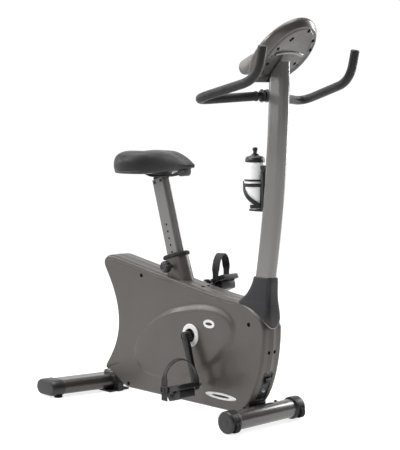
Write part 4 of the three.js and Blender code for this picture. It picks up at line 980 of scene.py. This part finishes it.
def swollen(o, cap, pressure=4.0, voxel=0.005, frames=20):
    """Blows the piece up as cloth, lets no point move further than the cap, and keeps the result."""
    scene = bpy.context.scene
    bpy.context.view_layer.objects.active = o
    remesh = o.modifiers.new("remesh", "REMESH")
    remesh.mode = "VOXEL"
    remesh.voxel_size = voxel
    bpy.ops.object.modifier_apply(modifier=remesh.name)
    start = [v.co.copy() for v in o.data.vertices]
    cloth = o.modifiers.new("cloth", "CLOTH")
    s = cloth.settings
    s.quality = 5
    s.mass = 0.3
    s.tension_stiffness = s.compression_stiffness = s.shear_stiffness = 25
    s.bending_stiffness = 6
    s.use_pressure = True
    s.uniform_pressure_force = pressure
    s.effector_weights.gravity = 0
    cloth.collision_settings.use_collision = False
    cloth.point_cache.frame_start, cloth.point_cache.frame_end = 1, frames
    for f in range(1, frames + 1):
        scene.frame_set(f)
    blown = o.evaluated_get(bpy.context.evaluated_depsgraph_get())
    end = [v.co.copy() for v in blown.data.vertices]
    o.modifiers.remove(cloth)
    for v, a, b in zip(o.data.vertices, start, end):
        move = b - a
        v.co = a + move * min(1.0, cap / max(move.length, 1e-9))
    scene.frame_set(1)


pad = piece("saddle_cushion", loft(rings), VINYL, "saddle_pad", sharp=80)
swollen(pad, 0.003)
pad.data.polygons.foreach_set("use_smooth", [True] * len(pad.data.polygons))
pad.modifiers.new("smooth", "SUBSURF").levels = 1
pad.modifiers["smooth"].render_levels = 1

tray_across = [(0, 1), (0.5, 1), (0.92, 0.98), (1.0, 0.8), (0.99, 0.4), (0.9, 0.06), (0.45, 0), (0, 0)]
tray_rings = []
for x, h in catmull(SADDLE[1:-1], 4):
    half = h - 9
    tray_rings.append(saddle_ring(x, half, lambda v: saddle_foot(v) + 1, lambda v: saddle_foot(v) + 14, 0,
                                  tray_across))
tray_rings = [pulled(tray_rings[0], 0.9, -4)] + tray_rings + [pulled(tray_rings[-1], 0.7, 3)]
mount = block((-246, -22, 795), (-170, 22, 811))
nose_side = catmull([(-102, 818), (-100, 806), (-92, 800.5), (-78, 800.5), (-69, 806), (-66, 820),
                     (-70, 828), (-98, 828)], 4, closed=True)
rails = [tube(catmull([(-262, s * 26, 806), (-230, s * 24, 797), (-180, s * 22, 797), (-130, s * 16, 804),
                       (-96, s * 9, 814)], 6), 3.4, 14) for s in (-1, 1)]
piece("saddle_tray", joined(loft(tray_rings), mount, slab(nose_side, -15, 15)), BLACK, "saddle_base",
      bevel=0.5, sharp=50)
piece("saddle_rails", joined(*rails), BLACK_PAINT, body="seat")

# --- cranks and pedals
crank_turn = Matrix.Translation((0, 0, CRANK_Z)) @ turned("Y", -CRANK_ANGLE)


def arm_outline():
    """Both edges of the arm in its own side plane, hanging along -Z."""
    right = [(15 * cos(radians(a)), 15 * sin(radians(a))) for a in range(0, 181, 12)]
    left = [(-15 * 0.93, -8), (-12, -40), (-10.4, -90), (-10.2, -140), (-12, -160)]
    end = [(-13 * cos(radians(a)), -171 - 13 * sin(radians(a))) for a in range(0, 181, 15)]
    back = [(-x, zz) for x, zz in reversed(left)]
    return right + left + end + back


for side, word in SIDES:
    turn = crank_turn if side == RIGHT else crank_turn @ turned("Y", 180)
    splay = Matrix(((1, 0, 0, 0), (0, 1, 0.06, 0), (0, 0, 1, 0), (0, 0, 0, 1)))
    arm = moved(slab(arm_outline(), -82, -69), splay)
    boss = moved(lathe(fillet([(0, 60), (16.2, 60), (15.4, 68), (15, 82), (13, 84.4), (9, 85), (8.6, 82.5),
                               (0, 82.5)], 1.0), 48), turned("X", 90))
    arm_mesh = sided(joined(arm, boss), side)
    piece(f"crank_{word}", moved(arm_mesh, turn), BLACK_PAINT, f"crank_arm_{word}", bevel=1.6)
    cap = moved(lathe(fillet([(0, 82), (8, 82), (8, 84), (4.5, 85.4), (0, 85.8)], 0.7), 32), turned("X", 90))
    piece(f"crank_bolt_{word}", moved(sided(cap, side), turn), BLACK, body="crankset")

PEDAL_OUT, PEDAL_IN = -203, -108
PEDAL_MID = (PEDAL_OUT + PEDAL_IN) / 2
TOE_UP = {RIGHT: -16, LEFT: -22}


def pedal_shape():
    plan = [(-50, PEDAL_OUT + 8), (-44, PEDAL_OUT), (44, PEDAL_OUT), (50, PEDAL_OUT + 8), (50, PEDAL_IN - 14),
            (40, PEDAL_IN), (-40, PEDAL_IN), (-50, PEDAL_IN - 14)]
    plan = fillet(plan, 7, closed=True)
    deck = loft([[(x * k, (y - PEDAL_MID) * k + PEDAL_MID, zz) for x, y in plan]
                 for zz, k in ((-4, 0.97), (-3, 0.99), (-1, 1), (9.6, 1), (11.2, 0.992), (12, 0.975))])
    windows = []
    for x in (-26, 26):
        for y0, y1 in ((PEDAL_OUT + 11, PEDAL_OUT + 41), (PEDAL_OUT + 55, PEDAL_IN - 11)):
            windows.append(loft([[(x + u, (y0 + y1) / 2 + v, zz) for u, v in round_box(26, y1 - y0, 4, 4)]
                                 for zz in (-60, 60)]))
    deck = carved(deck, *windows)
    treads = []
    for x in (-45, -8, 8, 45):
        for k in range(9):
            y = PEDAL_OUT + 12 + k * 9
            treads.append(block((x - 3, y - 1.4, 11), (x + 3, y + 1.4, 13.6)))
    barrel = moved(lathe(fillet([(0, -PEDAL_OUT - 0.4), (9, -PEDAL_OUT - 0.4), (11.5, -PEDAL_OUT - 4),
                                 (11.5, -PEDAL_IN + 3), (9.5, -PEDAL_IN), (0, -PEDAL_IN)], 1), 36),
                   turned("X", 90))
    bottom = fillet([(-32, -2), (-33, -14), (-27, -34), (27, -34), (33, -14), (32, -2)], 7, closed=True)
    weight = slab(bottom, PEDAL_OUT + 13, PEDAL_IN - 15)
    return joined(deck, barrel, weight), joined(*treads)


STRAP_IN, STRAP_OUT, STRAP_SLANT = -105.9, -205.1, 0.47


def strap_shape():
    """Band over the shoe, from a buckle and hanging tail outside to a foot further ahead inside."""
    spring, rise = 32, 66.5
    middle, half = (STRAP_IN + STRAP_OUT) / 2, (STRAP_IN - STRAP_OUT) / 2
    path = [(STRAP_OUT, zz) for zz in (-36, -24, -12, 0, 10, 20)]
    for i in range(33):
        a = pi * (1 - i / 32)
        path.append((middle + half * cos(a), spring + rise * sin(a)))
    path += [(STRAP_IN, 22), (STRAP_IN, 10.5)]
    path = [(STRAP_SLANT * (y - middle), y, zz) for y, zz in path]

    def away(i):
        p = Vector(path[i])
        if p.z < spring + 1:
            return Vector((0, -1 if p.y < middle else 1, 0))
        twist = 0.43 * smooth((p.z - spring) / 22)
        return Vector((twist * (p.y - middle) / half, (p.y - middle) / half,
                       (p.z - spring) / rise)).normalized()

    strip = sweep(path, round_box(28, 2.6, 1.2, 3), away)
    foot_x = STRAP_SLANT * (STRAP_OUT - middle)
    y = STRAP_OUT
    buckle = [block((foot_x + s * 15.2 - 1.8, y - 3, -12), (foot_x + s * 15.2 + 1.8, y + 2.4, 12))
              for s in (-1, 1)]
    buckle += [block((foot_x - 17, y - 3, 8), (foot_x + 17, y - 0.4, 12)),
               block((foot_x - 17, y - 3, -12), (foot_x + 17, y - 0.4, -8)),
               block((foot_x - 2, y - 2.8, -9), (foot_x + 2, y - 1, 9))]
    return strip, joined(*buckle)


for side, word in SIDES:
    swing = radians(CRANK_ANGLE) + (0 if side == RIGHT else pi)
    at = Matrix.Translation((CRANK_LENGTH * sin(swing), 0, CRANK_Z - CRANK_LENGTH * cos(swing)))
    tilted = at @ turned("Y", TOE_UP[side])
    body, treads = pedal_shape()
    piece(f"pedal_deck_{word}", moved(sided(body, side), tilted), BLACK, f"pedal_{word}", bevel=0.7)
    piece(f"pedal_treads_{word}", moved(sided(treads, side), tilted), BLACK, body=f"pedal_{word}", bevel=0.5)
    strip, buckle = strap_shape()
    piece(f"strap_{word}", moved(sided(strip, side), at), STRAP, f"pedal_strap_{word}", sharp=50)
    piece(f"strap_buckle_{word}", moved(sided(buckle, side), at), BLACK, body=f"pedal_{word}", bevel=0.7)

# --- bottle and cage
BOTTLE_X, BOTTLE_Z = 250, 708


def at_bottle(shape):
    return shifted(shape, x=BOTTLE_X, z=BOTTLE_Z)


body = fillet([(0, 1.6), (24, 1.6), (27, 0), (32, 0), (35, 3.5), (35, 22), (34.2, 24), (34.2, 27), (35, 29),
               (35, 83), (32.5, 87.5), (31.2, 95.5), (30.8, 108), (33.6, 118), (35, 126), (34.8, 135),
               (33.4, 142), (31, 149.5), (0, 149.5)], 1.6)
piece("bottle_shell", at_bottle(lathe(body, 72)), BOTTLE, "bottle", sharp=50)
cap = fillet([(0, 149.8), (31.6, 149.8), (32, 151.5), (31.8, 159), (30, 164.5), (26, 168), (13, 172),
              (11.8, 173.5), (11.5, 177), (8, 177), (8, 171), (0, 171)], 1.4)
piece("bottle_lid", at_bottle(lathe(cap, 96, 32, 0.7)), BLACK, "bottle_cap", sharp=45)
valve = fillet([(0, 171), (6.4, 171), (6.4, 186), (8.5, 188), (8.5, 194), (6.6, 197.4), (2, 198), (1.6, 195),
                (0, 195)], 0.9)
piece("bottle_spout", at_bottle(lathe(valve, 40)), BLACK, "bottle_valve")
band = fillet([(32, 88.5), (34, 88.5), (34.4, 91.5), (34, 95), (32, 95), (32, 88.5)], 0.7)
piece("bottle_band", at_bottle(lathe(band, 72)), BLACK, body="bottle")


def ribbon(points, width, r=37.3, thick=3.0):
    """A strip round the bottle through (angle, height) points. Angle 0 is at the mast, in degrees."""
    line = catmull(points, 8)
    path = [Vector((r * cos(radians(a)), r * sin(radians(a)), h)) for a, h in line]
    section = round_box(width, thick, 1.2, 3)
    strip = sweep(path, section, lambda i: Vector((path[i].x, path[i].y, 0)).normalized())
    return at_bottle(strip)


cage = [ribbon([(a, 77) for a in range(0, 361, 12)], 11), ribbon([(a, 8) for a in range(-70, 71, 10)], 12)]
for s in (-1, 1):
    cage.append(ribbon([(s * 2, 2), (s * 24, 12), (s * 58, 26), (s * 92, 44), (s * 116, 62), (s * 128, 78),
                        (s * 134, 88)], 14))
    cage.append(ribbon([(s * 12, 76), (s * 13, 50), (s * 14, 24), (s * 12, 4)], 9))
spine_side = fillet([(286.3, 702), (286.3, 826), (290, 829), (298, 826), (300, 800), (297, 702)], 2.4,
                    closed=True)
hook_side = fillet([(286.4, 818), (286.2, 838), (289, 843), (296, 843), (301, 838), (301, 818)], 2.4,
                   closed=True)
floor_plate = loft([[(BOTTLE_X + u, v, h) for u, v in round_box(60, 32, 9)]
                    for h in (BOTTLE_Z - 7.6, BOTTLE_Z - 1.4)])
cage += [slab(spine_side, -13, 13), slab(hook_side, -9, 9), shifted(floor_plate, x=14),
         drum(7.8, -10, 10, 289, 841, 36, 1.6)]
foot_bracket = slab(fillet([(284, 704), (318, 704), (318, 724), (300, 740), (284, 740)], 3, closed=True),
                    -11, 11)
piece("cage", joined(*cage, foot_bracket), BLACK, "bottle_cage", bevel=0.5, sharp=50)

# --- console details
details = []
for x, y in ((107, 18), (32, -66), (2, -66), (33, 82), (-29, 60), (-36, 78), (-34, -62), (70, 66)):
    head = lathe(fillet([(0, -6), (5.6, -6), (5.6, 0.7), (3.8, 0.7), (3.2, 0.25), (0, 0.25)], 0.3), 24)
    details.append(moved(head, console_at @ Matrix.Translation((x, y, -22.1 if x > 12 else -16.6))
                         @ turned("X", 180)))
label = loft([[(u, v, h) for u, v in round_box(17, 9, 2)] for h in (-0.4, 0.7)])
details.append(moved(label, console_at @ Matrix.Translation((72, -34, -22.1)) @ turned("Z", 28)
                     @ turned("X", 180)))
# The screw heads are near black: painted shade of their recesses.
piece("console_screws", joined(*details), MATT_BLACK_AND_SHADE, sharp=50)
plate_edge = [(12 + 104 * cos(a), 85 * sin(a)) for a in (lerp(-1.70, 1.70, i / 60) for i in range(61))]
plate_edge += [(20 - 21 * t * t, 84 * t) for t in (lerp(1, -1, i / 40) for i in range(1, 40))]
plate_rings = []
for shrink, h in ((0, -16), (0, -17.2), (0.8, -19.2), (2.4, -20.8), (4.8, -21.8), (8, -22)):
    plate_rings.append([console_at @ Vector((40 + (x - 40) * (1 - shrink / 80), y * (1 - shrink / 80), h))
                        for x, y in plate_edge])
piece("console_plate", loft(plate_rings), HEAD, sharp=50)
# The ridge is console casing, drawn in the lighter tube paint: a painted highlight along it.
ridge = [console_at @ Vector((20 - 21 * t * t, 84 * t, -19.4))
         for t in (lerp(-0.72, 0.72, i / 24) for i in range(25))]
piece("console_ridge_highlight", tube(ridge, 6.8, 24), TUBE, sharp=60)
socket = []
for x, half, depth in ((23, 27, 21.5), (16, 27, 23), (6, 26.6, 26), (-4, 26, 29.4), (-9, 25.6, 31),
                       (-11.4, 25, 30.4), (-12.6, 24, 28.6), (-13, 23, 24)):
    side_line = [(-half, -15), (-half, -depth + 5), (-half + 1.4, -depth + 1.6), (-half + 5, -depth)]
    line = side_line + [(-y, h) for y, h in reversed(side_line)]
    socket.append([console_at @ Vector((x, y, h)) for y, h in line])
piece("mast_socket", loft(socket), HEAD, sharp=50)

# --- inner parts
# The inner parts that are not listed are steel.
INNER = {"main_frame": BLACK_PAINT, "magnet_carriage": BLACK_PAINT, "drive_belt": RUBBER,
         "drive_pulley": BLACK, "idler_wheel": BLACK, "flywheel": IRON}
for name, o in frame["nodes"].items():
    if o.hide_render:
        continue
    o.data.materials.clear()
    o.data.materials.append(INNER.get(name, STEEL))
    weld = o.modifiers.new("weld", "WELD")
    weld.merge_threshold = 0.00001
    edge = o.modifiers.new("edge", "BEVEL")
    edge.width = 0.0006
    edge.segments = 2
    edge.limit_method = "ANGLE"
    edge.angle_limit = radians(40)

# --- floor, light and camera
floor_mesh = bpy.data.meshes.new("floor")
bm = bmesh.new()
bmesh.ops.create_grid(bm, x_segments=8, y_segments=8, size=14)
bm.to_mesh(floor_mesh)
bm.free()
floor = bpy.data.objects.new("floor", floor_mesh)
bpy.context.scene.collection.objects.link(floor)
floor_paint = bpy.data.materials.new("floor_paint")
floor_paint.use_nodes = True
put(floor_paint.node_tree.nodes["Principled BSDF"],
    {"Base Color": (0.35, 0.35, 0.35, 1), "Emission Color": (1, 1, 1, 1), "Emission Strength": 0.8,
     "Roughness": 0.6})
floor_mesh.materials.append(floor_paint)

AZIMUTH, PITCH = radians(46.22), radians(5.08)
CAMERA_AT, FOCAL_LENGTH, SENSOR_WIDTH = (3152.9, -3027.6, 1026.8), 103.95, 36
ROOM, BACKDROP = 0.10, 1.02  # brightness of the near side and of the backdrop
BACKDROP_TURN = radians(12)
scene = bpy.context.scene
scene.view_settings.view_transform = "Standard"
scene.view_settings.look = "None"
world = bpy.data.worlds.new("studio")
scene.world = world
world.use_nodes = True
nodes, link = world.node_tree.nodes, world.node_tree.links.new
# A bright backdrop behind the bike, falling to a dimmer room on the near side.
toward = nodes.new("ShaderNodeVectorMath")
toward.operation = "DOT_PRODUCT"
toward.inputs[1].default_value = (-sin(AZIMUTH + BACKDROP_TURN), cos(AZIMUTH + BACKDROP_TURN), 0.0)
link(nodes.new("ShaderNodeTexCoord").outputs["Generated"], toward.inputs[0])
ramp = nodes.new("ShaderNodeMapRange")
ramp.interpolation_type = "SMOOTHSTEP"
put(ramp, {"From Min": 0.05, "From Max": 0.8, "To Min": ROOM, "To Max": BACKDROP})
link(toward.outputs["Value"], ramp.inputs["Value"])
link(ramp.outputs["Result"], nodes["Background"].inputs["Strength"])
put(nodes["Background"], {"Color": (1.0, 1.0, 1.0, 1)})


def softbox(name, at, target, width, height, power):
    light = bpy.data.lights.new(name, "AREA")
    light.shape = "RECTANGLE"
    light.size, light.size_y = width, height
    light.energy = power
    o = bpy.data.objects.new(name, light)
    scene.collection.objects.link(o)
    o.location = at
    o.rotation_mode = "QUATERNION"
    o.rotation_quaternion = (Vector(target) - Vector(at)).to_track_quat("-Z", "Y")


softbox("overhead", (-0.2, -0.2, 3.2), (0, 0, 0.4), 2.6, 2.6, 115)
softbox("key", (-0.9, -3.3, 2.9), (0.0, 0.0, 0.7), 1.4, 1.4, 90)
softbox("rim", (0.9, 3.2, 1.6), (0.1, 0.0, 0.7), 1.0, 2.4, 90)
softbox("side", (-3.2, -2.4, 2.0), (0.0, 0.0, 0.9), 1.6, 1.6, 55)

camera = bpy.data.objects.new("camera", bpy.data.cameras.new("camera"))
scene.collection.objects.link(camera)
camera.data.lens = FOCAL_LENGTH
camera.data.sensor_width = SENSOR_WIDTH
camera.location = row(CAMERA_AT)
camera.rotation_mode = "QUATERNION"
ahead = Vector((-sin(AZIMUTH) * cos(PITCH), cos(AZIMUTH) * cos(PITCH), -sin(PITCH)))
camera.rotation_quaternion = ahead.to_track_quat("-Z", "Y")
camera.data.clip_end = 100
scene.camera = camera
